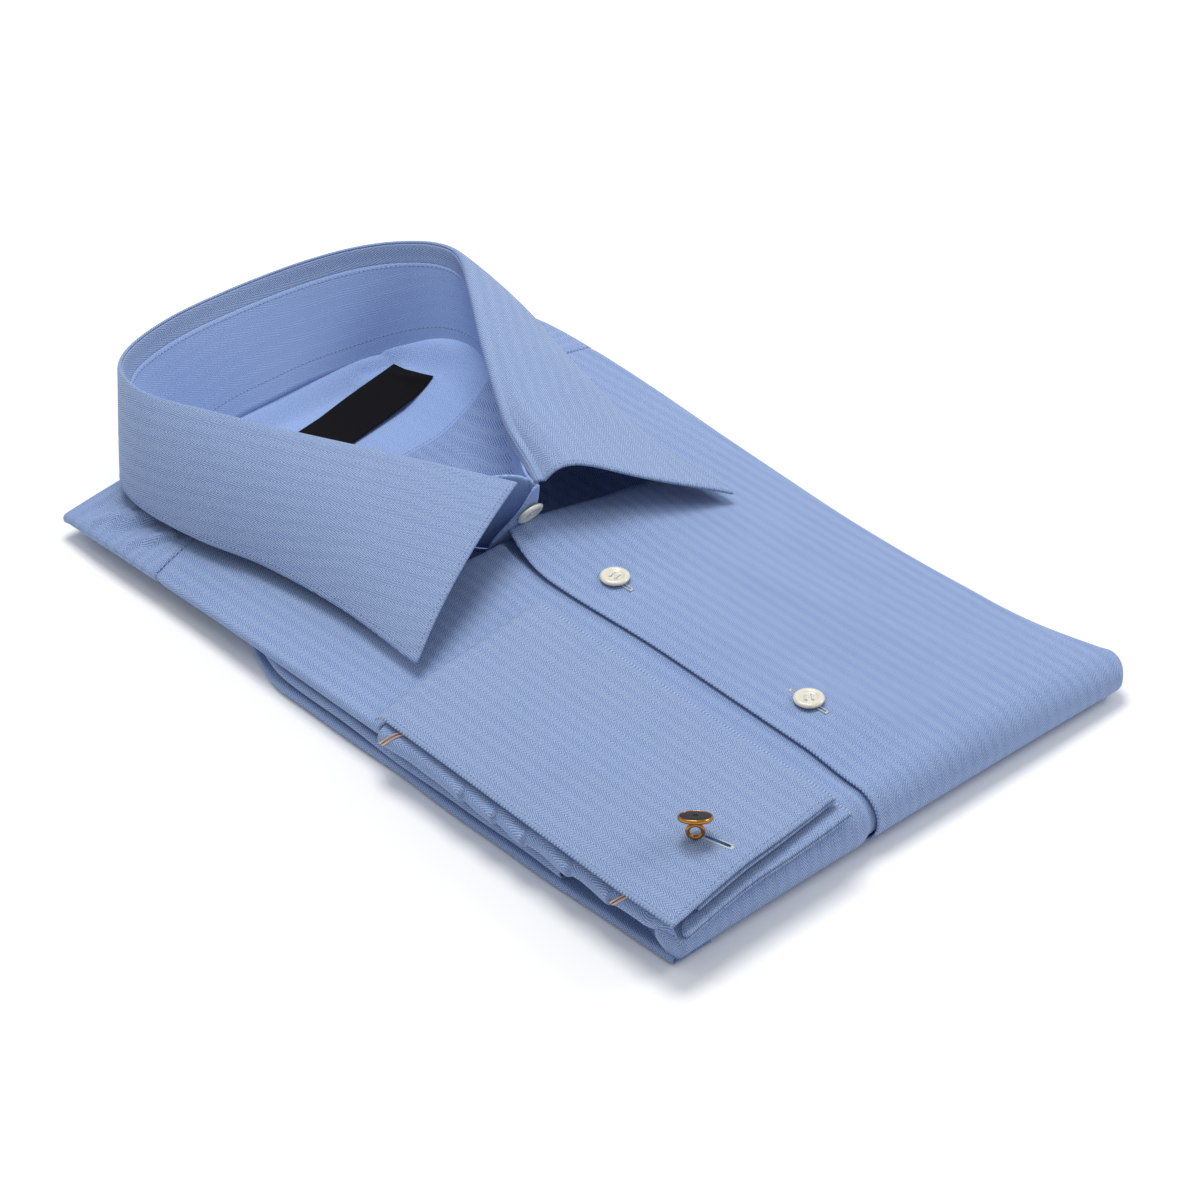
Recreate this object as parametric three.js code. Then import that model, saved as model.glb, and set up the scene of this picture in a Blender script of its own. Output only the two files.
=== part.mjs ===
import * as THREE from "three";

// A men's french cuff dress shirt, buttoned, folded and lying flat with its front up.
// Millimetres. X runs to the wearer's left, Y to the collar, Z up from the ground.

// Cloth and joins
const CLOTH = 1.2; // one wall of shirting with its turned edge
const STIFF_CLOTH = 1.3; // collar and cuff, two plies with a lining between
const SEAM_GAP = 0.3; // room between two pieces that touch

// Folded body
const SHIRT_CENTRE = -4.4; // middle of the collar
const BOTTOM_FLAT = -149; // where the top starts to turn round the bottom fold
const SHOULDER_FLAT = 184; // where the top starts to turn round the shoulder fold
const UNDER_FLANGE = 24; // cloth that goes on under the body at the bottom fold
const SIDE_FLANGE = 8; // cloth that goes on under itself at a side fold
const SHOULDER_FLANGE = 4; // and at the shoulder

// Each fold: how far it reaches out past the flat part, and how thick it is (0: down to the ground)
const RIGHT_FOLD = { reach: 4, thick: 5.6 };
const LEFT_FOLD = { reach: 2, thick: 4 };
const BOTTOM_FOLD = { reach: 12, thick: 0 };
const SHOULDER_FOLD = { reach: 3.5, thick: 5 };

// The folded body along its length: side edges, and the height of its top at the edges and the middle
const STATIONS = [
  { y: -161, left: -112.5, right: 117, zLeft: 17, zMid: 22, zRight: 16.5 },
  { y: -120, left: -113.5, right: 108.5, zLeft: 16, zMid: 23.5, zRight: 15 },
  { y: -75, left: -113, right: 106, zLeft: 15.5, zMid: 24, zRight: 14.5 },
  { y: -30, left: -112.5, right: 107, zLeft: 15.5, zMid: 24.5, zRight: 14 },
  { y: 10, left: -112, right: 109.5, zLeft: 15.5, zMid: 25, zRight: 14 },
  { y: 50, left: -111, right: 112.5, zLeft: 15, zMid: 24.5, zRight: 14 },
  { y: 90, left: -109.5, right: 116.5, zLeft: 13.5, zMid: 23.5, zRight: 13.5 },
  { y: 125, left: -109, right: 119, zLeft: 12.5, zMid: 22.5, zRight: 13 },
  { y: 160, left: -109, right: 119.5, zLeft: 12, zMid: 20, zRight: 12 },
  { y: 188, left: -108, right: 115, zLeft: 10, zMid: 16.5, zRight: 10 },
];
const CROWN_POWER = 2.2; // how square the rise from the edges to the middle is

// Placket: edge of the wearer's left front, which lies over the right one
const PLACKET = [
  { y: -200, x: -17.5 },
  { y: -120, x: -16.7 },
  { y: -45, x: -15.2 },
  { y: 10, x: -16.5 },
  { y: 30, x: -13 },
  { y: 45, x: -8 },
  { y: 60, x: -4 },
];
const UNDERLAP = 22; // how far the right front goes on under the left one
const PLACKET_LIFT = { x: -6, y: 47, spread: 15, height: 4.5 }; // edge that curls up at the neck

// Collar, from its centre back (share 0) to its front end (share 1). Half widths are from the collar's
// middle. The neck's edge, the ridge that the leaf turns over, and the leaf's outer edge.
const NECK = [
  { share: 0, half: 0, y: 181 },
  { share: 0.12, half: 28, y: 181 },
  { share: 0.22, half: 50, y: 178.5 },
  { share: 0.3, half: 62, y: 171 },
  { share: 0.37, half: 67, y: 159 },
  { share: 0.45, half: 67, y: 143 },
  { share: 0.58, half: 58, y: 117 },
  { share: 0.72, half: 43, y: 91 },
  { share: 0.86, half: 23, y: 65 },
  { share: 1, half: 0, y: 46 },
];
const RIDGE = [
  { share: 0, half: 0, y: 202.5, z: 60 },
  { share: 0.12, half: 29.5, y: 202, z: 60 },
  { share: 0.22, half: 52, y: 198.5, z: 59.5 },
  { share: 0.3, half: 67.5, y: 190.5, z: 59.5 },
  { share: 0.37, half: 74.5, y: 178.5, z: 60 },
  { share: 0.45, half: 74.5, y: 165, z: 60.5 },
  { share: 0.58, half: 62, y: 143, z: 59.5 },
  { share: 0.72, half: 44, y: 113.5, z: 57 },
  { share: 0.86, half: 23, y: 76, z: 55 },
  { share: 1, half: 2.5, y: 38, z: 51.7 },
];
const LEAF_EDGE = [
  { share: 0, half: 0, y: 195, z: 17, flare: 0 },
  { share: 0.12, half: 31, y: 194.5, z: 17.5, flare: 0 },
  { share: 0.22, half: 57, y: 192, z: 18, flare: 0 },
  { share: 0.3, half: 75, y: 184, z: 19, flare: 2 },
  { share: 0.37, half: 84, y: 172, z: 20, flare: 3 },
  { share: 0.45, half: 87.5, y: 154, z: 20.5, flare: 4 },
  { share: 0.58, half: 86, y: 124, z: 22, flare: 6 },
  { share: 0.72, half: 80, y: 92, z: 23.5, flare: 7 },
  { share: 0.86, half: 77.5, y: 50, z: 24.5, flare: 4 },
  { share: 1, half: 80.4, y: 6, z: 25, flare: -1.5 },
];
const RIDGE_STEP = { x: 2, y: -4, from: 0.86 }; // front of the ridge on the wearer's left
const NECK_WIDEST_Y = 150; // the neck narrows to the front from here
const STAND_TOP_DROP = 7; // seam of stand and leaf, below the ridge on the inside
const STAND_SEAT = 1; // middle of the stand's lower edge over the panels
const ROLL = 3; // half length of the leaf's turn over the ridge
// Rise of a leaf over the straight line from ridge to edge
const LEAF_BULGE = { right: 8, left: 15, leftFront: 1.5 };
const LEAF_FORM = { at: 0.6, least: 2, outward: 0.55 }; // where and how far the leaf's curve is pulled out
const LEAF_LIFT = { height: 8.5, peak: 0.17, from: 0.72 }; // front of the left leaf, raised off the body
const STAND_OVERLAP = 0.07; // share of the stand that goes on past the middle at the front
const STAND_END = { length: 250, drop: 2.5, slope: 0.35, turn: 0.12 }; // end of the stand past the middle
const STAND_STEP = 1.7; // how far the upper end stands off the lower one
const STAND_BELLY = 3; // how far the stand bows out at its front
const YOKE_SEAM_SHARE = 0.485; // where the seam of yoke and front meets the neck
const YOKE_SEAM = { y: 132, edgeDrop: 6, edgeSpread: 24 };

// Inside of the neck
const BOWL_ROWS = [
  { y: 48, half: 5, depth: 8 },
  { y: 66, half: 24, depth: 11 },
  { y: 91, half: 44, depth: 11 },
  { y: 117, half: 59.5, depth: 9.5 },
  { y: 143, half: 68.5, depth: 7 },
  { y: 159, half: 68.5, depth: 5 },
  { y: 171, half: 63.5, depth: 3.2 },
  { y: 178.5, half: 53, depth: 1.6 },
  { y: 182, half: 42, depth: 0.4 },
];
const BOWL_TOP_Y = 181.8;
const BOWL_BOTTOM_Y = 50;
const INNER_SEAM_Y = 124; // seam of inner yoke and back, inside the neck
const LABEL = { x: 10, y: 159, width: 82, height: 21, thick: 0.5, turn: 8 };

// French cuff on the wearer's right front, with its corners in plan and the piles of layers over the front
const CUFF_CORNERS = {
  nearTop: [-112.5, -3],
  farTop: [-33, 1],
  farBottom: [-33.5, -154],
  nearBottom: [-118.5, -162.5],
};
const CUFF_GAP = 0.3; // between the two layers of the turned-back cuff
// End of the cuff that turns down over the sleeve
const CUFF_HOOK = { share: 0.035, drop: 3.2, lowerFrom: 0.05, crowding: 1.6 };
const CUFF_SPLAY = 1.6; // how far the ends stand apart where they are linked
const SLEEVE_OVER = 1; // cloth of the sleeve's hidden side, between front and cuff
const CUFF_INSET = 0.16; // share of the cuff's height that its inner layers stay back from the near edge

// Sleeve that comes round the left side, as a section from under the body to under the cuff
const SLEEVE_SECTION = [
  { share: 0, x: -104, z: 9.6 },
  { share: 0.15, x: -110.5, z: 9.2 },
  { share: 0.3, x: -115.4, z: 10.4 },
  { share: 0.45, x: -117, z: 13.2 },
  { share: 0.62, x: -116.2, z: 17 },
  { share: 0.78, x: -113.2, z: 19.6 },
  { share: 1, x: -105.5, z: 20.3 },
];
const SLEEVE_Y = { top: -9, bottom: -150 };
const PLEATS = [-54, -71, -87, -110, -140];
const PLEAT_DEPTH = 1.1;
const PLEAT_LENGTH = 15;

// Buttons, link and clips
const BUTTON = { radius: 5.7, thick: 1.7, bevel: 0.45, hole: 0.65, holeAt: 1.25, lift: 0.6 };
const COLLAR_BUTTON = { share: 0.42, across: 1.2, forward: 1 }; // up the stand, and off its middle line
const FRONT_BUTTONS = [{ x: 1.4, y: -6.5 }, { x: 2.4, y: -106.5 }];
const LINK = { x: -86.5, y: -140.5, discRadius: 6.2, discThick: 1.9, tilt: 21 };
const LINK_RING = { radius: 2.7, wire: 0.8 };
const VIEW_TURN = 43; // the link's ring faces this many degrees off the shirt's length
const CLIP_WIRE = 0.45;
const CLIPS = [-17, -141];

// Core of the hidden layers: rings from the underside to the top, out from the flat part
const CORE_FOLD_LOW = 4; // lowest ring inside the bottom fold
const LAYER_RINGS = [
  { z: 1.5, out: -2.5 },
  { z: 2.2, out: 0.6 },
  { z: 3.4, out: 0.6 },
  { z: 4.2, out: -1 },
  { z: 4.4, out: -7 },
  { z: 4.8, out: -1.8 },
  { z: 6, out: -0.4 },
  { z: 7.3, out: -2 },
  { z: 7.6, out: -10 },
];
const CORE_INSET = 11; // how far the hidden layers stay in from the flat part, above the low layers
const CORE_CLEAR = 0.9; // room between the hidden layers and the panels over them
const CORE_MIDDLE_Y = 10;
const CORE_CAP_SHARES = [0, 0.08, 0.18, 0.3, 0.45, 0.62, 0.8];

const MATERIALS = {
  shirting: new THREE.MeshStandardMaterial({ color: "#8faadd", roughness: 0.78, metalness: 0 }),
  shell: new THREE.MeshStandardMaterial({ color: "#e6e0d2", roughness: 0.3, metalness: 0 }),
  gold: new THREE.MeshStandardMaterial({ color: "#c08a45", roughness: 0.25, metalness: 1 }),
  wire: new THREE.MeshStandardMaterial({ color: "#c2a596", roughness: 0.4, metalness: 0.6 }),
  label: new THREE.MeshStandardMaterial({ color: "#17161a", roughness: 0.6, metalness: 0 }),
};

const shirt = new THREE.Group();

// One row of a table, read smoothly at any place along its key column.
function readTable(rows, key, place) {
  const last = rows.length - 1;
  const at = Math.min(Math.max(place, rows[0][key]), rows[last][key]);
  let i = 0;
  while (i < last - 1 && at > rows[i + 1][key]) i += 1;
  const from = rows[i];
  const to = rows[i + 1];
  const before = rows[Math.max(i - 1, 0)];
  const after = rows[Math.min(i + 2, last)];
  const span = to[key] - from[key];
  const s = (at - from[key]) / span;
  const out = {};
  for (const column of Object.keys(from)) {
    const slopeFrom = ((to[column] - before[column]) / (to[key] - before[key])) * span;
    const slopeTo = ((after[column] - from[column]) / (after[key] - from[key])) * span;
    const rise = to[column] - from[column];
    const bend = s * (1 - s) * ((1 - s) * (slopeFrom - rise) - s * (slopeTo - rise));
    out[column] = from[column] + s * rise + bend;
  }
  return out;
}

function smoothStep(low, high, value) {
  return THREE.MathUtils.smoothstep(value, low, high);
}

// Height of the folded body's top, before any piece is laid on it.
function topHeight(x, y) {
  const row = readTable(STATIONS, "y", y);
  const middle = (row.left + row.right) / 2;
  const side = Math.min(Math.abs(x - middle) / (row.right - middle), 1);
  const edge = x < middle ? row.zLeft : row.zRight;
  return edge + (row.zMid - edge) * (1 - side ** CROWN_POWER);
}

// A point of the body's cloth. x and y are measured along the cloth from the shirt's middle,
// so past the flat part they run round the fold and back under it. depth is how far in from the
// outer face the point lies, and lift raises it.
function bodyPoint(x, y, depth, lift = 0) {
  const flatY = Math.min(Math.max(y, BOTTOM_FLAT), SHOULDER_FLAT);
  const row = readTable(STATIONS, "y", flatY);
  const flatX = Math.min(Math.max(x, row.left + LEFT_FOLD.reach), row.right - RIGHT_FOLD.reach);
  const overX = x - flatX;
  const overY = y - flatY;
  const over = Math.hypot(overX, overY);
  const top = topHeight(flatX, flatY) + lift;
  if (over < 1e-6) return new THREE.Vector3(flatX, flatY, top - depth);
  const sideFold = overX < 0 ? LEFT_FOLD : RIGHT_FOLD;
  const endFold = overY < 0 ? BOTTOM_FOLD : SHOULDER_FOLD;
  const endShare = Math.abs(overY) / (Math.abs(overX) + Math.abs(overY));
  const thickOf = (fold) => (fold.thick > 0 ? fold.thick : top);
  const reach = sideFold.reach * (1 - endShare) + endFold.reach * endShare;
  const thick = thickOf(sideFold) * (1 - endShare) + thickOf(endFold) * endShare;
  const arc = (Math.PI * (reach + thick / 2)) / 2;
  const angle = (Math.PI * Math.min(over, arc)) / arc;
  const under = Math.max(over - arc, 0);
  const out = (reach - depth) * Math.sin(angle) - under;
  const low = top - thick + depth;
  return new THREE.Vector3(
    flatX + (overX / over) * out,
    flatY + (overY / over) * out,
    low + ((thick - 2 * depth) * (1 + Math.cos(angle))) / 2,
  );
}

// Length of cloth round a fold at the body's edge.
function foldArc(fold, top) {
  const thick = fold.thick > 0 ? fold.thick : top;
  return (Math.PI * (fold.reach + thick / 2)) / 2;
}

// A closed solid from a grid of outer points and the same grid of inner points.
// surface(u, v, inner) gives a point, with u and v from 0 to 1.
function wall(surface, uSteps, vSteps) {
  const positions = [];
  const faces = [];
  const row = vSteps + 1;
  const layer = (uSteps + 1) * row;
  for (const inner of [false, true])
    for (let i = 0; i <= uSteps; i += 1)
      for (let j = 0; j <= vSteps; j += 1) {
        const point = surface(i / uSteps, j / vSteps, inner);
        positions.push(point.x, point.y, point.z);
      }
  const quad = (a, b, c, d) => faces.push(a, b, c, a, c, d);
  for (let i = 0; i < uSteps; i += 1)
    for (let j = 0; j < vSteps; j += 1) {
      const a = i * row + j;
      quad(a, a + row, a + row + 1, a + 1);
      quad(layer + a, layer + a + 1, layer + a + row + 1, layer + a + row);
    }
  for (let i = 0; i < uSteps; i += 1)
    for (const [j, flip] of [[0, false], [vSteps, true]]) {
      const a = i * row + j;
      if (flip) quad(a, a + row, layer + a + row, layer + a);
      else quad(a, layer + a, layer + a + row, a + row);
    }
  for (let j = 0; j < vSteps; j += 1)
    for (const [i, flip] of [[0, false], [uSteps, true]]) {
      const a = i * row + j;
      if (flip) quad(a, layer + a, layer + a + 1, a + 1);
      else quad(a, a + 1, layer + a + 1, layer + a);
    }
  return closedGeometry(positions, faces);
}

// The faces as a geometry, turned so that they point out.
function closedGeometry(positions, faces) {
  let volume = 0;
  const at = (k) => new THREE.Vector3().fromArray(positions, faces[k] * 3);
  for (let k = 0; k < faces.length; k += 3) volume += at(k).dot(at(k + 1).cross(at(k + 2)));
  if (volume < 0) faces.reverse();
  const geometry = new THREE.BufferGeometry();
  geometry.setAttribute("position", new THREE.Float32BufferAttribute(positions, 3));
  geometry.setIndex(faces);
  geometry.computeVertexNormals();
  return geometry;
}

// A middle surface given a thickness: both faces lie half of it away along the surface's normal.
function thicken(middle, thickness) {
  const step = 1e-3;
  const inside = (value) => Math.min(Math.max(value, step), 1 - step);
  return (u, v, inner) => {
    const [cu, cv] = [inside(u), inside(v)];
    const alongU = middle(cu + step, cv).sub(middle(cu - step, cv));
    const alongV = middle(cu, cv + step).sub(middle(cu, cv - step));
    const normal = alongU.cross(alongV).normalize();
    return middle(u, v).addScaledVector(normal, (inner ? -0.5 : 0.5) * thickness);
  };
}

function addPiece(name, geometry, material) {
  const piece = new THREE.Mesh(geometry, MATERIALS[material]);
  piece.name = name;
  shirt.add(piece);
  return piece;
}

// The neck's front edge, as its place along the shirt at one distance from the collar's middle.
function neckFrontY(half) {
  const fromWidest = NECK.findIndex((row) => row.y < NECK_WIDEST_Y);
  return readTable(NECK.slice(fromWidest).reverse(), "half", half).y;
}

function yokeSeamY(x) {
  const row = readTable(STATIONS, "y", YOKE_SEAM.y);
  const near = 1 - smoothStep(row.left - 2, row.left - 2 + YOKE_SEAM.edgeSpread, x);
  return YOKE_SEAM.y - YOKE_SEAM.edgeDrop * near;
}

const YOKE_SEAM_HALF = readTable(NECK, "share", YOKE_SEAM_SHARE).half;

// Upper end of a front at one place across: the neck's edge, then the yoke's seam.
function frontTopY(x) {
  const half = Math.abs(x - SHIRT_CENTRE);
  if (half >= YOKE_SEAM_HALF) return yokeSeamY(x);
  return Math.min(neckFrontY(half), yokeSeamY(x));
}

// Curl of the left front's edge below the neck.
function placketLift(x, y) {
  const away = Math.hypot(x - PLACKET_LIFT.x, y - PLACKET_LIFT.y) / PLACKET_LIFT.spread;
  return PLACKET_LIFT.height * Math.exp(-away * away);
}

const BOTTOM_END = BOTTOM_FLAT - foldArc(BOTTOM_FOLD, 22) - UNDER_FLANGE;

// Share along a front, with more rows where it turns round the bottom fold.
function frontRowY(share, topY) {
  const foldEnd = BOTTOM_FLAT - foldArc(BOTTOM_FOLD, 22);
  const foldShare = 0.42;
  const underShare = 0.08;
  if (share < underShare) return THREE.MathUtils.lerp(BOTTOM_END, foldEnd, share / underShare);
  if (share < foldShare)
    return THREE.MathUtils.lerp(foldEnd, BOTTOM_FLAT, (share - underShare) / (foldShare - underShare));
  return THREE.MathUtils.lerp(BOTTOM_FLAT, topY, (share - foldShare) / (1 - foldShare));
}

// Round the bottom fold the left front keeps the body's face and the right one goes in under it;
// on top the left front rises over the right one instead.
const OVERLAP_LIFT = CLOTH + 2 * SEAM_GAP;

function overlapLift(x) {
  return OVERLAP_LIFT * (1 - smoothStep(6, 40, x));
}

function nearBottomFold(y) {
  return 1 - smoothStep(BOTTOM_FLAT + 2, BOTTOM_FLAT + 26, y);
}

function addFronts() {
  const rightArc = foldArc(RIGHT_FOLD, 15);
  const leftArc = foldArc(LEFT_FOLD, 15);
  // The left front rides over the right one by the placket and comes down to the body beyond it.
  const left = (u, v, inner) => {
    const foldFrom = 0.62;
    const farX = (y) => readTable(STATIONS, "y", y).right - RIGHT_FOLD.reach;
    const xOf = (y) => {
      const edge = readTable(PLACKET, "y", y).x;
      if (u < foldFrom) return THREE.MathUtils.lerp(edge, farX(y), u / foldFrom);
      return farX(y) + ((u - foldFrom) / (1 - foldFrom)) * (rightArc + SIDE_FLANGE);
    };
    const y = frontRowY(v, frontTopY(xOf(frontTopY(xOf(YOKE_SEAM.y)))) - SEAM_GAP);
    const x = xOf(y);
    const lift = overlapLift(x) * (1 - nearBottomFold(y)) + placketLift(x, y);
    return bodyPoint(x, y, inner ? CLOTH : 0, lift);
  };
  addPiece("front_left", wall(left, 16, 17), "shirting");
  const right = (u, v, inner) => {
    const foldTo = 0.34;
    const farX = (y) => readTable(STATIONS, "y", y).left + LEFT_FOLD.reach;
    const xOf = (y) => {
      const edge = readTable(PLACKET, "y", y).x + UNDERLAP;
      if (u > foldTo) return THREE.MathUtils.lerp(farX(y), edge, (u - foldTo) / (1 - foldTo));
      return farX(y) - (1 - u / foldTo) * (leftArc + SIDE_FLANGE);
    };
    const y = frontRowY(v, frontTopY(xOf(frontTopY(xOf(YOKE_SEAM.y)))) - SEAM_GAP);
    const x = xOf(y);
    const edge = readTable(PLACKET, "y", y).x;
    const sink = OVERLAP_LIFT * nearBottomFold(y) * smoothStep(edge - 7, edge - 1, x);
    return bodyPoint(x, y, sink + (inner ? CLOTH : 0));
  };
  addPiece("front_right", wall(right, 14, 17), "shirting");
}

// The yoke: from the neck's edge out over both shoulders and round the shoulder fold.
function addYoke() {
  const arc = foldArc(SHOULDER_FOLD, 12) + SHOULDER_FLANGE;
  const rightArc = foldArc(RIGHT_FOLD, 12) + SIDE_FLANGE;
  const leftArc = foldArc(LEFT_FOLD, 12) + SIDE_FLANGE;
  const outline = (s) => {
    const side = s < 0 ? -1 : 1;
    const share = Math.abs(s);
    const corner = 0.62;
    const endX = ({ left, right }) =>
      side < 0 ? left + LEFT_FOLD.reach - leftArc : right - RIGHT_FOLD.reach + rightArc;
    const cornerX = endX(readTable(STATIONS, "y", SHOULDER_FLAT));
    const seamX = endX(readTable(STATIONS, "y", YOKE_SEAM.y));
    const topY = SHOULDER_FLAT + arc;
    if (share < corner) return [THREE.MathUtils.lerp(SHIRT_CENTRE, cornerX, share / corner), topY];
    const down = (share - corner) / (1 - corner);
    return [
      THREE.MathUtils.lerp(cornerX, seamX, down),
      THREE.MathUtils.lerp(topY, yokeSeamY(seamX) + SEAM_GAP, down),
    ];
  };
  const surface = (u, v, inner) => {
    const s = 2 * u - 1;
    const neck = readTable(NECK, "share", Math.abs(s) * YOKE_SEAM_SHARE);
    const neckX = SHIRT_CENTRE + Math.sign(s) * neck.half;
    const [outX, outY] = outline(s);
    const x = THREE.MathUtils.lerp(neckX, outX, v);
    const seam = Math.max(yokeSeamY(x) + SEAM_GAP, 0);
    const y = Math.max(THREE.MathUtils.lerp(neck.y, outY, v), seam);
    return bodyPoint(x, y, inner ? CLOTH : 0);
  };
  addPiece("yoke", wall(surface, 32, 8), "shirting");
}

// Inside of the neck: a hollow that is deepest at the front.
function bowlHeight(x, y) {
  const row = readTable(BOWL_ROWS, "y", y);
  const side = Math.min(Math.abs(x - SHIRT_CENTRE) / row.half, 1);
  return topHeight(x, y) - CLOTH - 2 * SEAM_GAP - row.depth * (1 - side ** 3);
}

function addNeckInside() {
  const sheet = (fromY, toY) => (u, v, inner) => {
    const y = THREE.MathUtils.lerp(fromY, toY, v);
    const half = readTable(BOWL_ROWS, "y", y).half;
    const x = SHIRT_CENTRE + (2 * u - 1) * half;
    return new THREE.Vector3(x, y, bowlHeight(x, y) - (inner ? CLOTH : 0));
  };
  addPiece("yoke_inner", wall(sheet(INNER_SEAM_Y + SEAM_GAP, BOWL_TOP_Y), 10, 6), "shirting");
  addPiece("back", wall(sheet(BOWL_BOTTOM_Y, INNER_SEAM_Y), 8, 5), "shirting");
  const turn = THREE.MathUtils.degToRad(LABEL.turn);
  const label = (u, v, inner) => {
    const across = (u - 0.5) * LABEL.width;
    const up = (v - 0.5) * LABEL.height;
    const x = LABEL.x + across * Math.cos(turn) - up * Math.sin(turn);
    const y = LABEL.y + across * Math.sin(turn) + up * Math.cos(turn);
    return new THREE.Vector3(x, y, bowlHeight(x, y) + SEAM_GAP + (inner ? 0 : LABEL.thick));
  };
  addPiece("label", wall(label, 6, 2), "label");
}

function neckPoint(s) {
  const row = readTable(NECK, "share", Math.abs(s));
  const x = SHIRT_CENTRE + Math.sign(s) * row.half;
  const overlap = overlapLift(x) * smoothStep(-45, -18, x);
  const rise = overlap + placketLift(x, row.y);
  return new THREE.Vector3(x, row.y, topHeight(x, row.y) + rise + STAND_SEAT);
}

function ridgePoint(s) {
  const row = readTable(RIDGE, "share", Math.abs(s));
  const step = smoothStep(RIDGE_STEP.from, 1, s);
  const x = SHIRT_CENTRE + Math.sign(s) * row.half + RIDGE_STEP.x * step;
  return new THREE.Vector3(x, row.y + RIDGE_STEP.y * step, row.z);
}

// The stand: from the neck's edge up to its seam with the leaf. Its ends pass each other at the front.
function addStand() {
  const middle = (u, v) => {
    const s = (2 * u - 1) * (1 + STAND_OVERLAP);
    const end = Math.min(Math.abs(s), 1) * Math.sign(s);
    const beyond = (Math.abs(s) - Math.abs(end)) * STAND_END.length;
    const neck = neckPoint(end);
    const ridge = ridgePoint(end);
    ridge.x = THREE.MathUtils.lerp(ridge.x, SHIRT_CENTRE, smoothStep(0.93, 1, Math.abs(end)));
    const down = neck.clone().sub(ridge).normalize();
    const front = smoothStep(0.84, 1, Math.abs(end));
    const drop = STAND_TOP_DROP + 2 * SEAM_GAP + STAND_END.drop * front + beyond * STAND_END.slope;
    const point = neck.lerp(ridge.addScaledVector(down, drop), v);
    point.x -= Math.sign(s) * beyond;
    point.y += beyond * STAND_END.turn - STAND_BELLY * front * Math.sin(Math.PI * v);
    if (s > 0) point.y -= STAND_STEP * smoothStep(0.86, 1, s);
    return point;
  };
  addPiece("collar_stand", wall(thicken(middle, STIFF_CLOTH), 44, 2), "shirting");
}

// The leaf: from the stand's seam up over the ridge and down to its outer edge.
function leafPoint(s, v) {
  const share = Math.abs(s);
  const side = Math.sign(s);
  const row = readTable(LEAF_EDGE, "share", share);
  const ridge = ridgePoint(s);
  const neck = neckPoint(s);
  const flare = side > 0 ? row.flare : 0;
  const edge = new THREE.Vector3(SHIRT_CENTRE + side * (row.half + flare), row.y, row.z);
  const front = smoothStep(LEAF_LIFT.from, 1, share);
  const leftBulge = THREE.MathUtils.lerp(LEAF_BULGE.left, LEAF_BULGE.leftFront, front);
  const bulge = side > 0 ? leftBulge : LEAF_BULGE.right;
  const run = edge.clone().sub(ridge);
  const outward = new THREE.Vector3(run.x, run.y, 0).normalize();
  const control = ridge.clone().addScaledVector(run, LEAF_FORM.at);
  const spread = smoothStep(0.2, 0.6, share);
  control.addScaledVector(outward, LEAF_FORM.least + bulge * LEAF_FORM.outward * spread);
  control.z += LEAF_FORM.least + bulge * spread;
  const down = neck.clone().sub(ridge).normalize();
  const outDown = control.clone().sub(ridge).normalize();
  const rollFrom = 0.06;
  const rollTo = 0.18;
  if (v < rollFrom) {
    const below = THREE.MathUtils.lerp(STAND_TOP_DROP, ROLL, v / rollFrom);
    return ridge.addScaledVector(down, below);
  }
  const start = ridge.clone().addScaledVector(outDown, ROLL);
  if (v < rollTo) {
    const from = ridge.clone().addScaledVector(down, ROLL);
    return bend(from, ridge, start, (v - rollFrom) / (rollTo - rollFrom));
  }
  const w = (v - rollTo) / (1 - rollTo);
  const point = bend(start, control, edge, w);
  if (side > 0) {
    const hump = (w / LEAF_LIFT.peak) * Math.exp(1 - w / LEAF_LIFT.peak) * (1 - w);
    point.z += LEAF_LIFT.height * hump * front;
  }
  return point;
}

// A curve from one point to another, pulled towards a third.
function bend(from, pull, to, w) {
  return from
    .clone()
    .multiplyScalar((1 - w) ** 2)
    .addScaledVector(pull, 2 * w * (1 - w))
    .addScaledVector(to, w * w);
}

function addLeaf() {
  const middle = (u, v) => leafPoint(2 * u - 1, v);
  addPiece("collar_leaf", wall(thicken(middle, STIFF_CLOTH), 44, 10), "shirting");
}

// A four-hole button with a rounded rim.
function buttonGeometry() {
  const outline = new THREE.Shape().absarc(0, 0, BUTTON.radius - BUTTON.bevel, 0, 2 * Math.PI);
  for (let k = 0; k < 4; k += 1) {
    const angle = (k + 0.5) * (Math.PI / 2);
    const away = BUTTON.holeAt * Math.SQRT2;
    const hole = new THREE.Path();
    hole.absarc(away * Math.cos(angle), away * Math.sin(angle), BUTTON.hole + BUTTON.bevel, 0, 2 * Math.PI);
    outline.holes.push(hole);
  }
  return new THREE.ExtrudeGeometry(outline, {
    depth: BUTTON.thick - 2 * BUTTON.bevel,
    bevelThickness: BUTTON.bevel,
    bevelSize: BUTTON.bevel,
    bevelSegments: 1,
    curveSegments: 4,
  });
}

function addButtons() {
  FRONT_BUTTONS.forEach(({ x, y }, index) => {
    const button = addPiece(`front_button_${index + 1}`, buttonGeometry(), "shell");
    button.position.set(x, y, topHeight(x, y) + OVERLAP_LIFT + BUTTON.lift + BUTTON.bevel);
  });
  const neck = neckPoint(1);
  const ridge = ridgePoint(1);
  const button = addPiece("collar_button", buttonGeometry(), "shell");
  const up = ridge.clone().sub(neck).setX(0).normalize();
  const out = new THREE.Vector3(0, -up.z, up.y);
  button.quaternion.setFromRotationMatrix(new THREE.Matrix4().makeBasis(new THREE.Vector3(1, 0, 0), up, out));
  const place = neck.clone().lerp(ridge, COLLAR_BUTTON.share);
  place.x = SHIRT_CENTRE + COLLAR_BUTTON.across;
  place.y -= STAND_STEP + COLLAR_BUTTON.forward;
  button.position.copy(place.addScaledVector(out, STIFF_CLOTH / 2 + BUTTON.lift + BUTTON.bevel));
}

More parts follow.
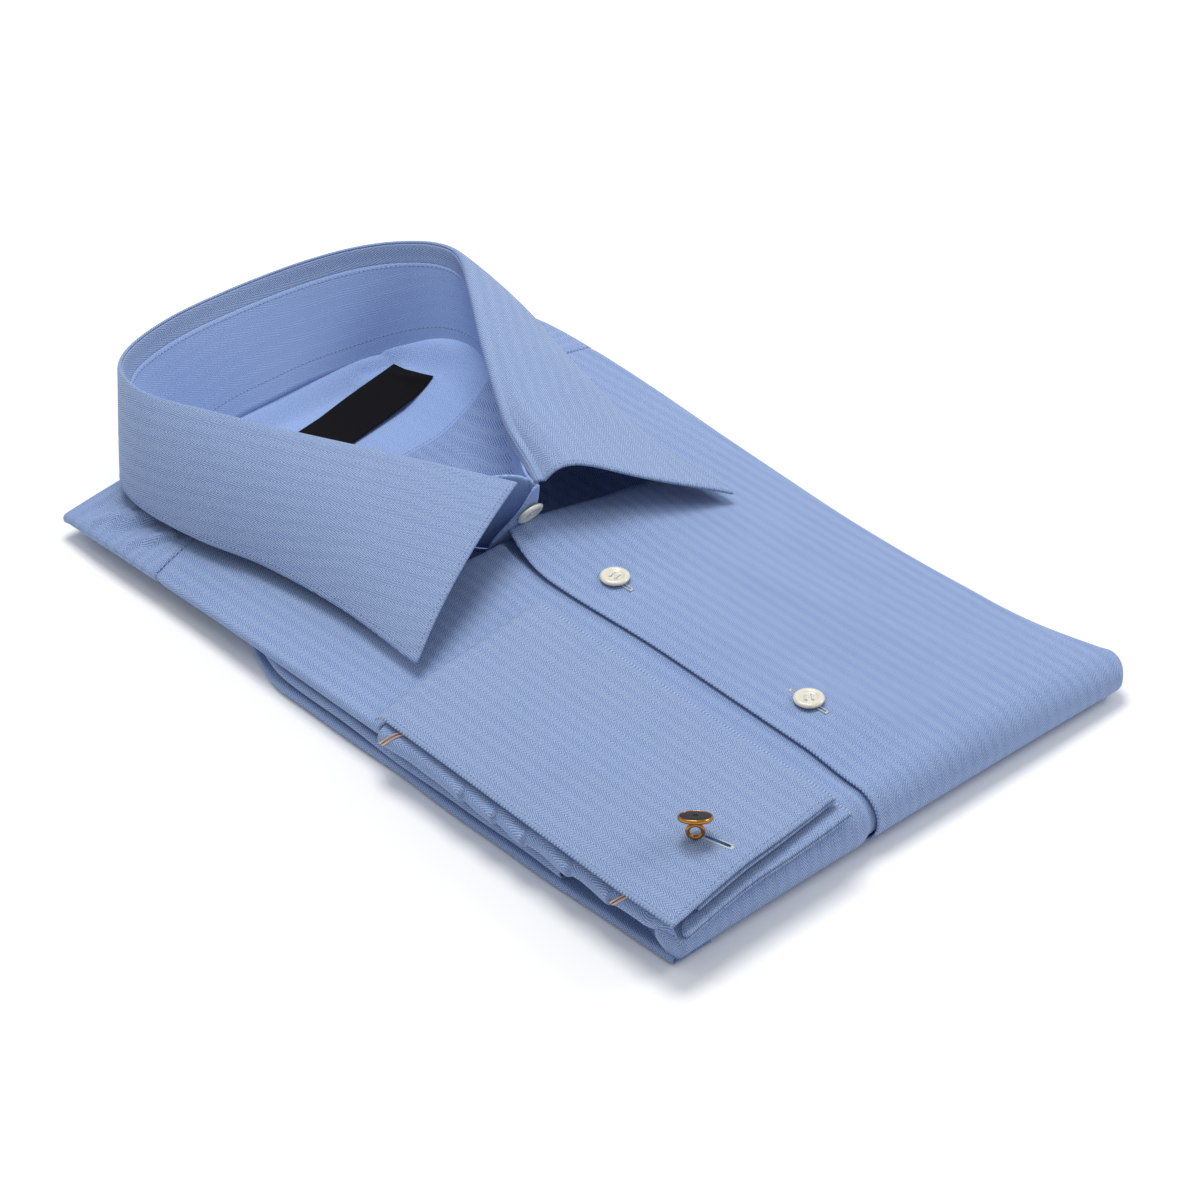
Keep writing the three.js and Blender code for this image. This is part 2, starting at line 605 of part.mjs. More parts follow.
// A place in the cuff's plan: a runs from the near edge to the fold, b from its upper to its linked end.
function cuffPlan(a, b) {
  const { nearTop, farTop, farBottom, nearBottom } = CUFF_CORNERS;
  const mix = (k) =>
    THREE.MathUtils.lerp(
      THREE.MathUtils.lerp(nearTop[k], farTop[k], a),
      THREE.MathUtils.lerp(nearBottom[k], farBottom[k], a),
      b,
    );
  return [mix(0), mix(1)];
}

function cuffBase(x, y) {
  const over = Math.max(y, BOTTOM_FLAT + 4);
  return topHeight(x, over) + SEAM_GAP + SLEEVE_OVER * (1 - smoothStep(-84, -60, x));
}

// Half of the turned-back cuff: an outer layer, the fold at its far edge, and an inner layer.
function cuffHalf(level, flip) {
  const bend = 0.5 * (2 * STIFF_CLOTH + CUFF_GAP); // from the pair's middle to an outer face
  const foldFrom = 0.44;
  const foldTo = 0.62;
  return (u, row, inner) => {
    const depth = inner ? STIFF_CLOTH : 0;
    const v = flip ? row : row ** CUFF_HOOK.crowding;
    let a = 1;
    let angle = 0;
    if (u < foldFrom) a = u / foldFrom;
    else if (u < foldTo) angle = (Math.PI * (u - foldFrom)) / (foldTo - foldFrom);
    else {
      angle = Math.PI;
      a = 1 - ((u - foldTo) / (1 - foldTo)) * (1 - CUFF_INSET);
    }
    if (flip) a = Math.max(a, 0) * (1 - CUFF_INSET) + CUFF_INSET;
    const [x, y] = cuffPlan(a, flip ? THREE.MathUtils.lerp(CUFF_HOOK.lowerFrom, 1, v) : v);
    const out = (bend - depth) * Math.sin(angle);
    const rise = (bend - depth) * Math.cos(angle) * (flip ? -1 : 1);
    const hook = flip ? 0 : CUFF_HOOK.drop * Math.max(1 - v / CUFF_HOOK.share, 0) ** 2;
    const splay = flip ? 0 : CUFF_SPLAY * smoothStep(0.8, 1, v) * Math.sin(Math.PI * Math.min(a + 0.15, 1));
    return new THREE.Vector3(x + out, y, cuffBase(x, y) + level + bend + rise - hook + splay);
  };
}

function addCuff() {
  const pair = 2 * STIFF_CLOTH + CUFF_GAP;
  addPiece("cuff_lower", wall(cuffHalf(0, true), 12, 6), "shirting");
  addPiece("cuff_upper", wall(cuffHalf(pair + SEAM_GAP, false), 12, 14), "shirting");
}

// Pleats at the sleeve's end, each a ramp that ends in a step.
function pleatLift(y) {
  const ahead = PLEATS.map((at) => (y - at) / PLEAT_LENGTH).filter((part) => part >= 0 && part < 1);
  return ahead.length ? PLEAT_DEPTH * (1 - Math.min(...ahead)) : 0;
}

function sleevePoint(share, y) {
  const row = readTable(SLEEVE_SECTION, "share", share);
  const slant = (y - SLEEVE_Y.top) / (SLEEVE_Y.bottom - SLEEVE_Y.top);
  return new THREE.Vector3(row.x - 0.8 * slant, y, row.z);
}

function addSleeve() {
  const middle = (u, v) => sleevePoint(v, THREE.MathUtils.lerp(SLEEVE_Y.bottom, SLEEVE_Y.top, u));
  const plain = thicken(middle, CLOTH);
  const surface = (u, v, inner) => {
    const point = plain(u, v, inner);
    const shows = smoothStep(0.12, 0.35, v) * (1 - smoothStep(0.6, 0.75, v));
    point.x -= pleatLift(point.y) * shows;
    return point;
  };
  addPiece("sleeve", wall(surface, 44, 7), "shirting");
}

function ringAlong(points, radius, steps, closed) {
  const path = new THREE.CatmullRomCurve3(points, closed);
  const section = new THREE.Shape().absarc(0, 0, radius, 0, 2 * Math.PI);
  return new THREE.ExtrudeGeometry(section, { steps, extrudePath: path, curveSegments: 4 });
}

// The link: a round face on a ring that stands in the cuff's buttonhole.
function addLink() {
  const pair = 2 * STIFF_CLOTH + CUFF_GAP;
  const cuffTop = cuffBase(LINK.x, LINK.y) + 2 * pair + SEAM_GAP;
  const ringZ = cuffTop + 2 * SEAM_GAP + LINK_RING.radius + LINK_RING.wire;
  const turn = THREE.MathUtils.degToRad(VIEW_TURN);
  const torus = new THREE.TorusGeometry(LINK_RING.radius, LINK_RING.wire, 6, 18);
  const ring = addPiece("cufflink_ring", torus, "gold");
  ring.rotation.set(Math.PI / 2, 0, 0);
  const stand = new THREE.Group();
  stand.rotation.z = -turn;
  stand.position.set(LINK.x, LINK.y, ringZ);
  stand.add(ring);
  const half = LINK.discThick / 2;
  const profile = [
    [0, -half],
    [LINK.discRadius * 0.8, -half],
    [LINK.discRadius, -half * 0.3],
    [LINK.discRadius, half * 0.5],
    [LINK.discRadius * 0.92, half],
    [LINK.discRadius * 0.86, half * 0.6],
    [0, half * 0.6],
  ].map(([r, z]) => new THREE.Vector2(r, z));
  const face = addPiece("cufflink_face", new THREE.LatheGeometry(profile, 24), "gold");
  face.rotation.x = Math.PI / 2 - THREE.MathUtils.degToRad(LINK.tilt);
  face.position.set(0, 0.9, LINK_RING.radius + LINK_RING.wire + half + SEAM_GAP + 0.25);
  stand.add(face);
  shirt.add(stand);
}

// Two wire clips that hold the sleeve's fold to the cuff.
function addClips() {
  CLIPS.forEach((y, index) => {
    const shares = [0.36, 0.46, 0.56, 0.66];
    const points = shares.map((share) => {
      const point = sleevePoint(share, y + (share - 0.5) * 8);
      const lift = CLOTH / 2 + CLIP_WIRE + pleatLift(point.y) + SEAM_GAP;
      point.x -= lift * Math.cos((share - 0.36) * 3);
      point.z += lift * Math.sin((share - 0.36) * 3);
      return point;
    });
    addPiece(`clip_${index + 1}`, ringAlong(points, CLIP_WIRE, 8, false), "wire");
  });
}

// The lower layers end short of the shoulders, with their corners cut off.
function lowLayer(x, y) {
  const cut = smoothStep(66, 128, y);
  return [SHIRT_CENTRE + (x - SHIRT_CENTRE) * (1 - 0.2 * cut), Math.min(y, 132)];
}

// The hidden layers in one solid: rings round the body, then a top that follows the panels from below.
function addHiddenLayers() {
  const sideSteps = 16;
  const endSteps = 8;
  const aroundSteps = 2 * (sideSteps + endSteps);
  const low = BOTTOM_FLAT + 1;
  const high = SHOULDER_FLAT - 1;
  const right = (y) => readTable(STATIONS, "y", y).right - RIGHT_FOLD.reach - 1;
  const left = (y) => readTable(STATIONS, "y", y).left + LEFT_FOLD.reach + 1.5;
  // A place round the flat part's edge with its outward direction.
  const rim = (k) => {
    const along = (n) => THREE.MathUtils.lerp(low, high, (n + 0.5) / sideSteps);
    const across = (n, y) => THREE.MathUtils.lerp(right(y), left(y), (n + 0.5) / endSteps);
    if (k < sideSteps) return [right(along(k)), along(k), 1, 0];
    if (k < sideSteps + endSteps) return [across(k - sideSteps, high), high, 0, 1];
    const back = aroundSteps - 1 - k;
    if (back < endSteps) return [across(back, low), low, 0, -1];
    return [left(along(back - endSteps)), along(back - endSteps), -1, 0];
  };
  const coreTop = (x, y) =>
    Math.min(topHeight(x, y), insideFloor(x, y)) - CLOTH - CORE_CLEAR - OVERLAP_LIFT * nearBottomFold(y);
  // Inside of the round bottom fold, at one height.
  const foldReach = (x, z) => {
    const half = topHeight(x, low) / 2;
    const inner = half - CLOTH - OVERLAP_LIFT - CORE_CLEAR;
    const rise = Math.min(Math.abs(z - half) / inner, 1);
    return (BOTTOM_FOLD.reach - CLOTH - OVERLAP_LIFT - CORE_CLEAR) * Math.sqrt(1 - rise * rise);
  };
  const lowest = LAYER_RINGS[0].z;
  const highest = LAYER_RINGS[LAYER_RINGS.length - 1].z;
  const positions = [];
  for (const ring of LAYER_RINGS)
    for (let k = 0; k < aroundSteps; k += 1) {
      const [x, y, dx, dy] = rim(k);
      const [lx, ly] = lowLayer(x, y);
      const z = dy < 0 ? THREE.MathUtils.mapLinear(ring.z, lowest, highest, CORE_FOLD_LOW, highest) : ring.z;
      const out = dy < 0 ? foldReach(x, z) : ring.out;
      positions.push(lx + dx * out, ly + dy * out, z);
    }
  const capRows = CORE_CAP_SHARES.length;
  for (const share of CORE_CAP_SHARES)
    for (let k = 0; k < aroundSteps; k += 1) {
      const [x, y, dx, dy] = rim(k);
      const inset = dy < 0 ? 0 : CORE_INSET;
      const [ix, iy] = [x - dx * inset, Math.min(y - dy * inset, high - CORE_INSET)];
      const cx = THREE.MathUtils.lerp(ix, SHIRT_CENTRE, share);
      const cy = THREE.MathUtils.lerp(iy, CORE_MIDDLE_Y, share);
      positions.push(cx, cy, coreTop(cx, cy));
    }
  const rows = LAYER_RINGS.length + capRows;
  const bottomCentre = rows * aroundSteps;
  positions.push(SHIRT_CENTRE, CORE_MIDDLE_Y, lowest);
  positions.push(SHIRT_CENTRE, CORE_MIDDLE_Y, coreTop(SHIRT_CENTRE, CORE_MIDDLE_Y));
  const faces = [];
  for (let r = 0; r < rows - 1; r += 1)
    for (let k = 0; k < aroundSteps; k += 1) {
      const a = r * aroundSteps + k;
      const b = r * aroundSteps + ((k + 1) % aroundSteps);
      faces.push(a, b, b + aroundSteps, a, b + aroundSteps, a + aroundSteps);
    }
  for (let k = 0; k < aroundSteps; k += 1) {
    const next = (k + 1) % aroundSteps;
    faces.push(next, k, bottomCentre);
    faces.push((rows - 1) * aroundSteps + k, (rows - 1) * aroundSteps + next, bottomCentre + 1);
  }
  addPiece("hidden_layers", closedGeometry(positions, faces), "shirting");
}

// Floor of the neck's hollow, or the body's top away from it.
function insideFloor(x, y) {
  const row = readTable(BOWL_ROWS, "y", y);
  const within = y > BOWL_ROWS[0].y - 12 && y < BOWL_ROWS[BOWL_ROWS.length - 1].y + 6;
  const side = Math.abs(x - SHIRT_CENTRE) / (row.half + 12);
  if (!within || side >= 1) return topHeight(x, y);
  return topHeight(x, y) - CLOTH - 3 * SEAM_GAP - row.depth * 1.05 * (1 - side ** 8);
}

// The lower part of the body, folded up under the rest: it is what lies on the ground.
function addTail() {
  const surface = (u, v, inner) => {
    const low = BOTTOM_FLAT + UNDER_FLANGE + 8;
    const side = 2 * u - 1;
    const high = 118 - 34 * Math.abs(side) ** 3;
    const y = THREE.MathUtils.lerp(low, high, v);
    const row = readTable(STATIONS, "y", y);
    const inset = 3;
    const x = THREE.MathUtils.lerp(row.left + inset, row.right - inset, u);
    return new THREE.Vector3(x, y, inner ? CLOTH : 0);
  };
  addPiece("tail", wall(surface, 10, 6), "shirting");
}

addHiddenLayers();
addTail();
addFronts();
addYoke();
addNeckInside();
addStand();
addLeaf();
addButtons();
addSleeve();
addCuff();
addLink();
addClips();

// The origin is under the middle of the folded shirt, on the ground.
const bounds = new THREE.Box3().setFromObject(shirt);
const centre = bounds.getCenter(new THREE.Vector3());
shirt.position.set(-centre.x, -centre.y, -bounds.min.z);

export default shirt;
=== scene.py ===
import math
from functools import partial

import bpy
import numpy as np
from mathutils import Matrix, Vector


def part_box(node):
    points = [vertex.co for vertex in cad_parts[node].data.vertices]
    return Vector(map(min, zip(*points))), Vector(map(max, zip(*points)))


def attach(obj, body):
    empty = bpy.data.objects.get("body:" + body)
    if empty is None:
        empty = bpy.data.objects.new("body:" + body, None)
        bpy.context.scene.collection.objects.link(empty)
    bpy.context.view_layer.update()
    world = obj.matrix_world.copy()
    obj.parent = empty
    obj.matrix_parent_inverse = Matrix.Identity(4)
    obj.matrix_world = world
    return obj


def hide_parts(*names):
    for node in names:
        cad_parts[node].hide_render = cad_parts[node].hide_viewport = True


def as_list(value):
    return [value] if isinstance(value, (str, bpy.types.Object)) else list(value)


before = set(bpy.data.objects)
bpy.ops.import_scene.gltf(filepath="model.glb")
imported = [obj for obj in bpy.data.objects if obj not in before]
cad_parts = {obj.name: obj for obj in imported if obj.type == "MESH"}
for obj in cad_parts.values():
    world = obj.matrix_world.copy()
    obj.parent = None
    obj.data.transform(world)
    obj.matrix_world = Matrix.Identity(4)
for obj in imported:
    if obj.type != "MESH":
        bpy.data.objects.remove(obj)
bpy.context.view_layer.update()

# A men's french cuff dress shirt, buttoned, folded and lying flat. Places are in millimetres
# along the shirt: x to the wearer's left, y to the collar, z up from the ground.
MM = 0.001
UP = np.array([0, 0, 1.0])

# Cloth, joins and stitches
CLOTH = 0.9
STIFF_CLOTH = 1.25
SOLID_CLOTH = 1.2  # wall of the solids that the sheets lie on
SOLID_STIFF = 1.3
SEAM_GAP = 0.3
STITCH = (1.05, 0.17, 1.85)  # length, radius, pitch
NEEDLE = (0.5, 0.2)  # length and radius of the dark mark of painted shade in a needle's hole

# Folded body: the same stations, folds and seams as the solids
SHIRT_CENTRE = -4.4  # x of the collar's middle
BOTTOM_FLAT = -149
SHOULDER_FLAT = 184
UNDER_FLANGE = 24
SIDE_FLANGE = 8
SHOULDER_FLANGE = 4
FRONT_HEIGHT = 22  # of the fronts over the ground, at the bottom fold
RIGHT_FOLD = (4, 5.6)  # reach past the flat part, and thickness, 0 being down to the ground
LEFT_FOLD = (2, 4)
BOTTOM_FOLD = (12, 0)
SHOULDER_FOLD = (3.5, 5)
# y, left edge, right edge, height at the left, the middle and the right
STATIONS = [
    (-161, -112.5, 117, 17, 22, 16.5),
    (-120, -113.5, 108.5, 16, 23.5, 15),
    (-75, -113, 106, 15.5, 24, 14.5),
    (-30, -112.5, 107, 15.5, 24.5, 14),
    (10, -112, 109.5, 15.5, 25, 14),
    (50, -111, 112.5, 15, 24.5, 14),
    (90, -109.5, 116.5, 13.5, 23.5, 13.5),
    (125, -109, 119, 12.5, 22.5, 13),
    (160, -109, 119.5, 12, 20, 12),
    (188, -108, 115, 10, 16.5, 10),
]
CROWN_POWER = 2.2
PLACKET = [(-200, -17.5), (-120, -16.7), (-45, -15.2), (10, -16.5), (30, -13), (45, -8), (60, -4)]
UNDERLAP = 22
UNDER_EDGE = (-7, -1, -2, 6)  # by the placket's edge: from and to where a front sinks and flattens
FRONT_SHARES = (0.04, 0.24)  # a front's rows before the bottom fold, and up to its end
FRONT_TURNS = (0.8, 0.22)  # where the left and the right front turn round their side folds
YOKE_CORNER = 0.62  # share of each half of the yoke that runs along the shoulder end
YOKE_TUCK = 2.5
YOKE_SINK = (0.5, -1.5, -0.2)  # how far a front sinks under the yoke's edge, from and to there
PLACKET_LIFT = (-6, 47, 15, 4.5)  # x, y, spread and height of the curled edge below the neck
OVERLAP_LIFT = SOLID_CLOTH + 2 * SEAM_GAP
OVERLAP_FADE = (6, 40)  # x from and to which the left front comes down off the right one
FOLD_EASE = (2, 26)  # past the bottom fold, from and to where its layers part
# Left front below the neck: swell's line y = at - slope * x, its height, the dip behind, spreads
NECK_SWELL = (37, 0.1, 4.4, 8, 24, 11)
SWELL_PLACKET = (0.35, -22, 4)  # its share by the placket, and where it grows from there
SWELL_ENDS = ((-52, -28), (44, 72), (62, 92))  # where it starts and ends in x, and ends in y

# Collar, by share from the centre back to the front: half width from the collar's middle, y, z
NECK = [
    (0, 0, 181), (0.12, 28, 181), (0.22, 50, 178.5), (0.3, 62, 171), (0.37, 67, 159),
    (0.45, 67, 143), (0.58, 58, 117), (0.72, 43, 91), (0.86, 23, 65), (1, 0, 46),
]
RIDGE = [
    (0, 0, 202.5, 60), (0.12, 29.5, 202, 60), (0.22, 52, 198.5, 59.5), (0.3, 67.5, 190.5, 59.5),
    (0.37, 74.5, 178.5, 60), (0.45, 74.5, 165, 60.5), (0.58, 62, 143, 59.5), (0.72, 44, 113.5, 57),
    (0.86, 23, 76, 55), (1, 2.5, 38, 51.7),
]
# Ridge's own small unevenness: place from the right front end to the left one, x, y
RIDGE_SHIFTS = [
    (-1, 0, 0), (-0.72, 0, 0), (-0.58, 1.5, 0), (-0.45, 3, 2), (-0.37, 3, 4), (-0.3, 2, 4.5), (-0.22, 0, 4.5),
    (-0.12, 0, 5), (0, 0, 4.5), (0.12, 0, 2), (0.22, 1, 0.5), (0.3, 2, 0), (0.37, 5.5, 0), (0.45, 6, 0),
    (0.58, 5, 0), (0.72, 3, 0), (0.86, 0.5, 0), (1, 0, 0),
]
# Leaf's outer edge: half width, y, z, and how much wider it is on the wearer's left
LEAF_EDGE = [
    (0, 0, 195, 17, 0), (0.12, 31, 194.5, 17.5, 0), (0.22, 57, 192, 18, 0), (0.3, 75, 184, 19, 2),
    (0.37, 84, 172, 20, 3), (0.45, 87.5, 154, 20.5, 4), (0.58, 86, 124, 22, 6),
    (0.72, 80, 92, 23.5, 7), (0.86, 77.5, 50, 24.5, 4), (1, 80.4, 6, 25, -1.5),
]
STAND_TOP_DROP = 9.5
STAND_SEAT = 1  # how far over the body's top its lower edge sits
STAND_OVERLAP = 0.07  # how far its ends pass the front, as a share of its half
STAND_END = (250, 0.35, 0.12)  # past the front ends, the stand's reach, drop and way back
STAND_END_SHARES = (1, 0.1, 0.3)  # of that reach: over the neck and the ridge, and on the right
STAND_STEP = 1.7
STAND_BELLY = 3
STAND_AHEAD = (4, 0.93)  # the front ends meet a little to the wearer's left of the middle
STAND_SINK = (6.5, 10)  # its lower edge lies deeper behind the fronts' swell
FRONT_FROM, FRONT_CLOSE = 0.84, 0.78  # where the collar closes, and how much it narrows there
ROLL = 3
ROLL_SHARES = (0.06, 0.18)  # the leaf's inner edge and its roll over the ridge
ROLL_ROWS = (0.45, 0.2)  # share of the leaf's rows that this share of its width takes
RIDGE_GROOVE = (0.088, 0.006, 0.7)  # where the leaf's two plies meet, inside the ridge
RIDGE_STEP = (2, -4, 0.86)  # the left front end's shift in x and y, and its start
LEAF_BULGE = (8, 15, 1.5)  # right leaf, left leaf, front of the left leaf
LEAF_FORM = (0.6, 2, 0.55)  # pull along the leaf, above the ridge, and outwards with the bulge
LEAF_LIFT = (8.5, 0.17, 0.72)  # height, place and start of the left leaf's hump at the front
YOKE_SEAM_SHARE = 0.485
YOKE_SEAM = (132, 6, 24)  # y, drop at the right side, and over which width
# Hollow of the neck: y, half width, depth under the body's top
BOWL_ROWS = [
    (48, 5, 8), (66, 24, 11), (91, 44, 11), (117, 59.5, 9.5), (143, 68.5, 7), (159, 68.5, 5),
    (171, 63.5, 3.2), (178.5, 53, 1.6), (182, 42, 0.4),
]
BOWL_Y = (50, 124, 181.8)
BOWL_EDGE = (2.2, 5, 90, 150)  # how far its edges curl up to the stand, from and to which y
BOWL_FRONT_SINK = (7, 16)  # how far its front end dives under the fronts, over which length
BOWL_END = 12  # length over which it curls up at the back
# How the neck's edge stands up on the wearer's left: y, how far out, how far up
NECK_RISE = [(60, 0, 0), (91, 2, 3), (117, 4, 6), (143, 4, 7), (159, 2.5, 6), (172, 1, 2.5), (180, 0, 0)]
LABEL = (8.2, 155.5, 82, 21, 8)  # x, y, width, height, turn in degrees
LABEL_REACH = (38, 10)  # how far from its middle the bowl's slope is taken
LABEL_CLEAR = (0.8, 0.4, 0.4)  # over the bowl's slope, over its cloth, and thickness

# Cuff's corners: near top, far top, far bottom, near bottom
CUFF_CORNERS = [(-112.5, -3), (-33, 1), (-33.5, -154), (-118.5, -162.5)]
CUFF_WIDTH = 80
CUFF_GAP = 0.3
CUFF_PAIR = 2 * SOLID_STIFF + CUFF_GAP
CUFF_FOLD = (0.44, 0.58)
# How the layers part at the collar's end: rows and drop of the upper cuff's hooked edge, row where
# the lower cuff starts, and how closely the upper one's rows crowd there
CUFF_HOOK = (0.035, 3.2, 0.05, 1.6)
CUFF_SPLAY = (1.6, -1.3)  # the upper and the lower cuff's rise at the link's end
CUFF_END = 0.8  # row from which the layers open at the link's end
CUFF_RUN = (-3, -159)  # where its rows start in y, and their length
CUFF_LOOP = (2.2, 6, 3)  # the lower cuff's end: across at the fold, down at the fold and at the edge
CUFF_SLOT = (-80.2, -137, -78, -149.8)  # the buttonhole's line in the cuff's plan
CUFF_INSET = (0.16, 0.85, 0.88)  # the inner layer's edge, and how far it comes out from which row
SLEEVE_OVER = (1, -84, -60)  # how far the cuff rests above the front by the sleeve
SLEEVE_SECTION = [
    (0, -103, 13.4), (0.15, -108.5, 13.1), (0.3, -113.2, 13.4), (0.45, -115.9, 15),
    (0.62, -115.7, 17.8), (0.78, -112.9, 19.7), (1, -105.5, 20.3),
]
SLEEVE_Y = (-9, -150)
SLEEVE_END = (-107, 0.45, 14, 0.35)  # x and z that the sleeve's end narrows to, and how much
PLEATS = (-54, -71, -87, -110, -130)
PLEAT_DEPTH = 1.7
PLEAT_LENGTH = 15

# Hidden layers: share up the side, height, and how far each ring reaches past the flat part
LAYER_RINGS = [
    (0, 1.5, -2.5), (0.12, 2.2, 0.6), (0.25, 3.4, 0.6), (0.38, 4.2, -1), (0.5, 4.4, -7),
    (0.62, 4.8, -1.8), (0.75, 6, -0.4), (0.88, 7.3, -2), (1, 7.6, -10),
]
CORE_FOLD_LOW = 4
CORE_INSET = 11
CORE_CLEAR = 0.9
CORE_MIDDLE_Y = 10
CORE_STOP_Y = 132
CORE_NARROW = (66, 128, 0.2)  # from and to which y the rings draw in, and how much
CORE_HOLLOW = (12, 6, 1.05, 8)  # room round the neck's hollow: sides, end, depth, squareness
BAND_ROOM = 5  # the core stays back on the side where folded bands lie over it
# Folded bands at the left side: from y, to y, height, half height, reach past the core, start of waves
BANDS = [
    (-101, 102, 6.9, 2.2, 1.2, 0.0),
    (-157, 98, 2.3, 1.7, 2.4, 1.7),
    (-60, 60, 9.6, 0.9, -5.5, 3.1),
]
BAND_DEPTH = 17
SIDE_CUT = (12, 50, 100)  # how far the layers draw in towards the shoulder, and from which y to which
BAND_RUN, BAND_TURN = 0.32, 0.36  # shares of a band's rows in each run and in its turn
TAIL_TOP = (118, 34)  # the tail's upper edge in the middle, and how much lower its corners are
BAND_OPEN = (0, 0.45, 34)  # the band that gapes at its end, by how much and over which length
BAND_PINCH = (0.35, 40, 84)  # how much thinner they get, from and to which y

BUTTON_RADIUS = 5.7
BUTTON_THICK = 1.7
BUTTON_SHANK = 0.6  # room under a front button for its thread
BUTTON_EDGE = 0.8  # share of the radius where its rounded edge starts
BUTTON_DISH = (0.45, 2.6, 3.9)  # depth of its middle, and the radii between which it rises
BUTTON_RIM = (0.12, 4.5, 0.6)  # height, radius and width of the raised ring
BUTTON_HOLES = (1.25, 0.62)  # how far off the middle, and their radius
FRONT_BUTTONS = [(1.4, -6.5), (2.4, -106.5)]
COLLAR_BUTTON_OUT = 2.2
BUTTONHOLE = (18, 2.3, 0.42)  # length, width, pitch of its threads
LINK = (-83.5, -137.2, 6.2, 1.9, 21)  # x, y, radius and thickness of the face, tilt
LINK_RING = (2.7, 0.8)
CLIPS = (-10.5, -131)
CLIP_SHARES = (0.42, 0.88)  # part of the sleeve's section that a clip goes round
CLIP_SLANT = 18  # how far it runs towards the hem over the whole section
CLIP_WIRE = 0.45

# Camera: turned and raised as in the photograph, at the distance that gives its perspective
CAMERA_TURN = 43.0
CAMERA_RAISE = 35.8
CAMERA_AWAY = 1680
CAMERA_DROP = 12
LENS = 135
SENSOR = 36
# Lights: place, size, energy, colour
WORLD_STRENGTH = 0.5
WORLD_COLOUR = (0.93, 0.96, 1.0, 1.0)
LIGHTS = {
    "key": ((0.3, 0.6, 2.1), 1.1, 30, (1.0, 0.99, 0.97)),
    "cross": ((-0.7, 0.9, 1.9), 0.8, 4, (1.0, 1.0, 1.0)),
    "side": ((1.4, -0.7, 1.1), 0.7, 8, (1.0, 1.0, 1.0)),
}
AIM = (0, 0, 0.02)
FLOOR_HALF = 6.0

# Soft creases of the body's cloth: x, y to x, y, width, height
CREASES = [
    (-104, 172, -88, 158, 2.8, 1.9),
    (-101, 160, -84, 150, 2.2, -1.6),
    (-104, 150, -90, 141, 2.4, 1.6),
    (-98, 168, -80, 162, 1.8, 1.2),
    (-100, 143, -86, 138, 1.8, -1.2),
    (-96, 178, -78, 168, 3, -1.0),
    (-116, -150, -104, -159, 2.2, 0.9),
    (-60, 168, -74, 150, 4, 0.4),
    (100, 176, 84, 166, 3.2, 0.6),
    (104, 164, 90, 152, 3, -0.55),
    (106, 152, 92, 142, 3, 0.5),
    (-11, -5, -4, -14, 3.2, -0.5),
    (6, 2, 16, 12, 4, -0.35),
    (-10, -104, -3, -112, 3.2, -0.4),
    (30, 20, 52, -62, 7, 0.5),
    (48, 22, 74, -70, 8, -0.5),
    (70, 10, 88, -60, 8, 0.45),
    (14, 42, 34, 18, 6, 0.5),
    (-60, 6, -24, 8, 4, -0.5),
    (-40, 28, -26, -40, 6, 0.4),
    (96, 60, 104, -90, 9, 0.4),
    (20, -60, 30, -150, 8, -0.35),
    (60, -90, 76, -150, 9, 0.4),
]
# Slow swells of the whole front: wave numbers across and along, height, start
SWELLS = [(0.031, 0.017, 0.22, 0.4), (-0.019, 0.043, 0.16, 2.1), (0.07, -0.052, 0.07, 4.0)]
# Folds inside the neck: x, y to x, y, width, height
INSIDE_CREASES = [
    (52, 168, 60, 140, 6, -1.4),
    (42, 166, 50, 150, 2.2, 0.8),
    (30, 172, 44, 168, 2.5, 0.6),
    (34, 176, 46, 173, 2, -0.6),
    (-60, 160, -52, 130, 6, -0.8),
    (30, 118, 44, 90, 5, 0.6),
]

# The frame's own place of a button gives the shift from these places to the frame
low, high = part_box("front_button_1")
SHIFT = np.array([
    (low[0] + high[0]) / 2 / MM - FRONT_BUTTONS[0][0],
    (low[1] + high[1]) / 2 / MM - FRONT_BUTTONS[0][1],
    0.0,
])


def read(rows, place):
    """Columns of a table at any places along its first one, as cubic pieces with shared slopes."""
    rows = np.asarray(rows, float)
    key = rows[:, 0]
    at = np.clip(place, key[0], key[-1])
    i = np.clip(np.searchsorted(key, at, side="left") - 1, 0, len(key) - 2)
    before, after = np.maximum(i - 1, 0), np.minimum(i + 2, len(key) - 1)
    span = (key[i + 1] - key[i])[..., None]
    s = (at - key[i])[..., None] / span
    slope_from = (rows[i + 1] - rows[before]) / (key[i + 1] - key[before])[..., None] * span
    slope_to = (rows[after] - rows[i]) / (key[after] - key[i])[..., None] * span
    rise = rows[i + 1] - rows[i]
    bend = s * (1 - s) * ((1 - s) * (slope_from - rise) - s * (slope_to - rise))
    return np.moveaxis((rows[i] + s * rise + bend)[..., 1:], -1, 0)


def step(low_at, high_at, value):
    """Smooth step, 0 up to low_at and 1 from high_at."""
    t = np.clip((np.asarray(value, float) - low_at) / (high_at - low_at), 0, 1)
    return t * t * (3 - 2 * t)


def mix(a, b, t):
    """From a at 0 to b at 1."""
    return a + (b - a) * t


def unit(vectors):
    """Vectors divided by their lengths."""
    return vectors / np.maximum(np.linalg.norm(vectors, axis=-1, keepdims=True), 1e-9)


def points(x, y, z):
    """Places from three arrays or numbers of any matching shapes."""
    return np.stack(np.broadcast_arrays(x, y, z), -1).astype(float)


def top_height(x, y):
    """Height of the body's top: edge + (middle - edge) * (1 - share across ** CROWN_POWER)."""
    left, right, z_left, z_mid, z_right = read(STATIONS, y)
    middle = (left + right) / 2
    side = np.minimum(np.abs(x - middle) / (right - middle), 1)
    edge = np.where(x < middle, z_left, z_right)
    return edge + (z_mid - edge) * (1 - side ** CROWN_POWER)


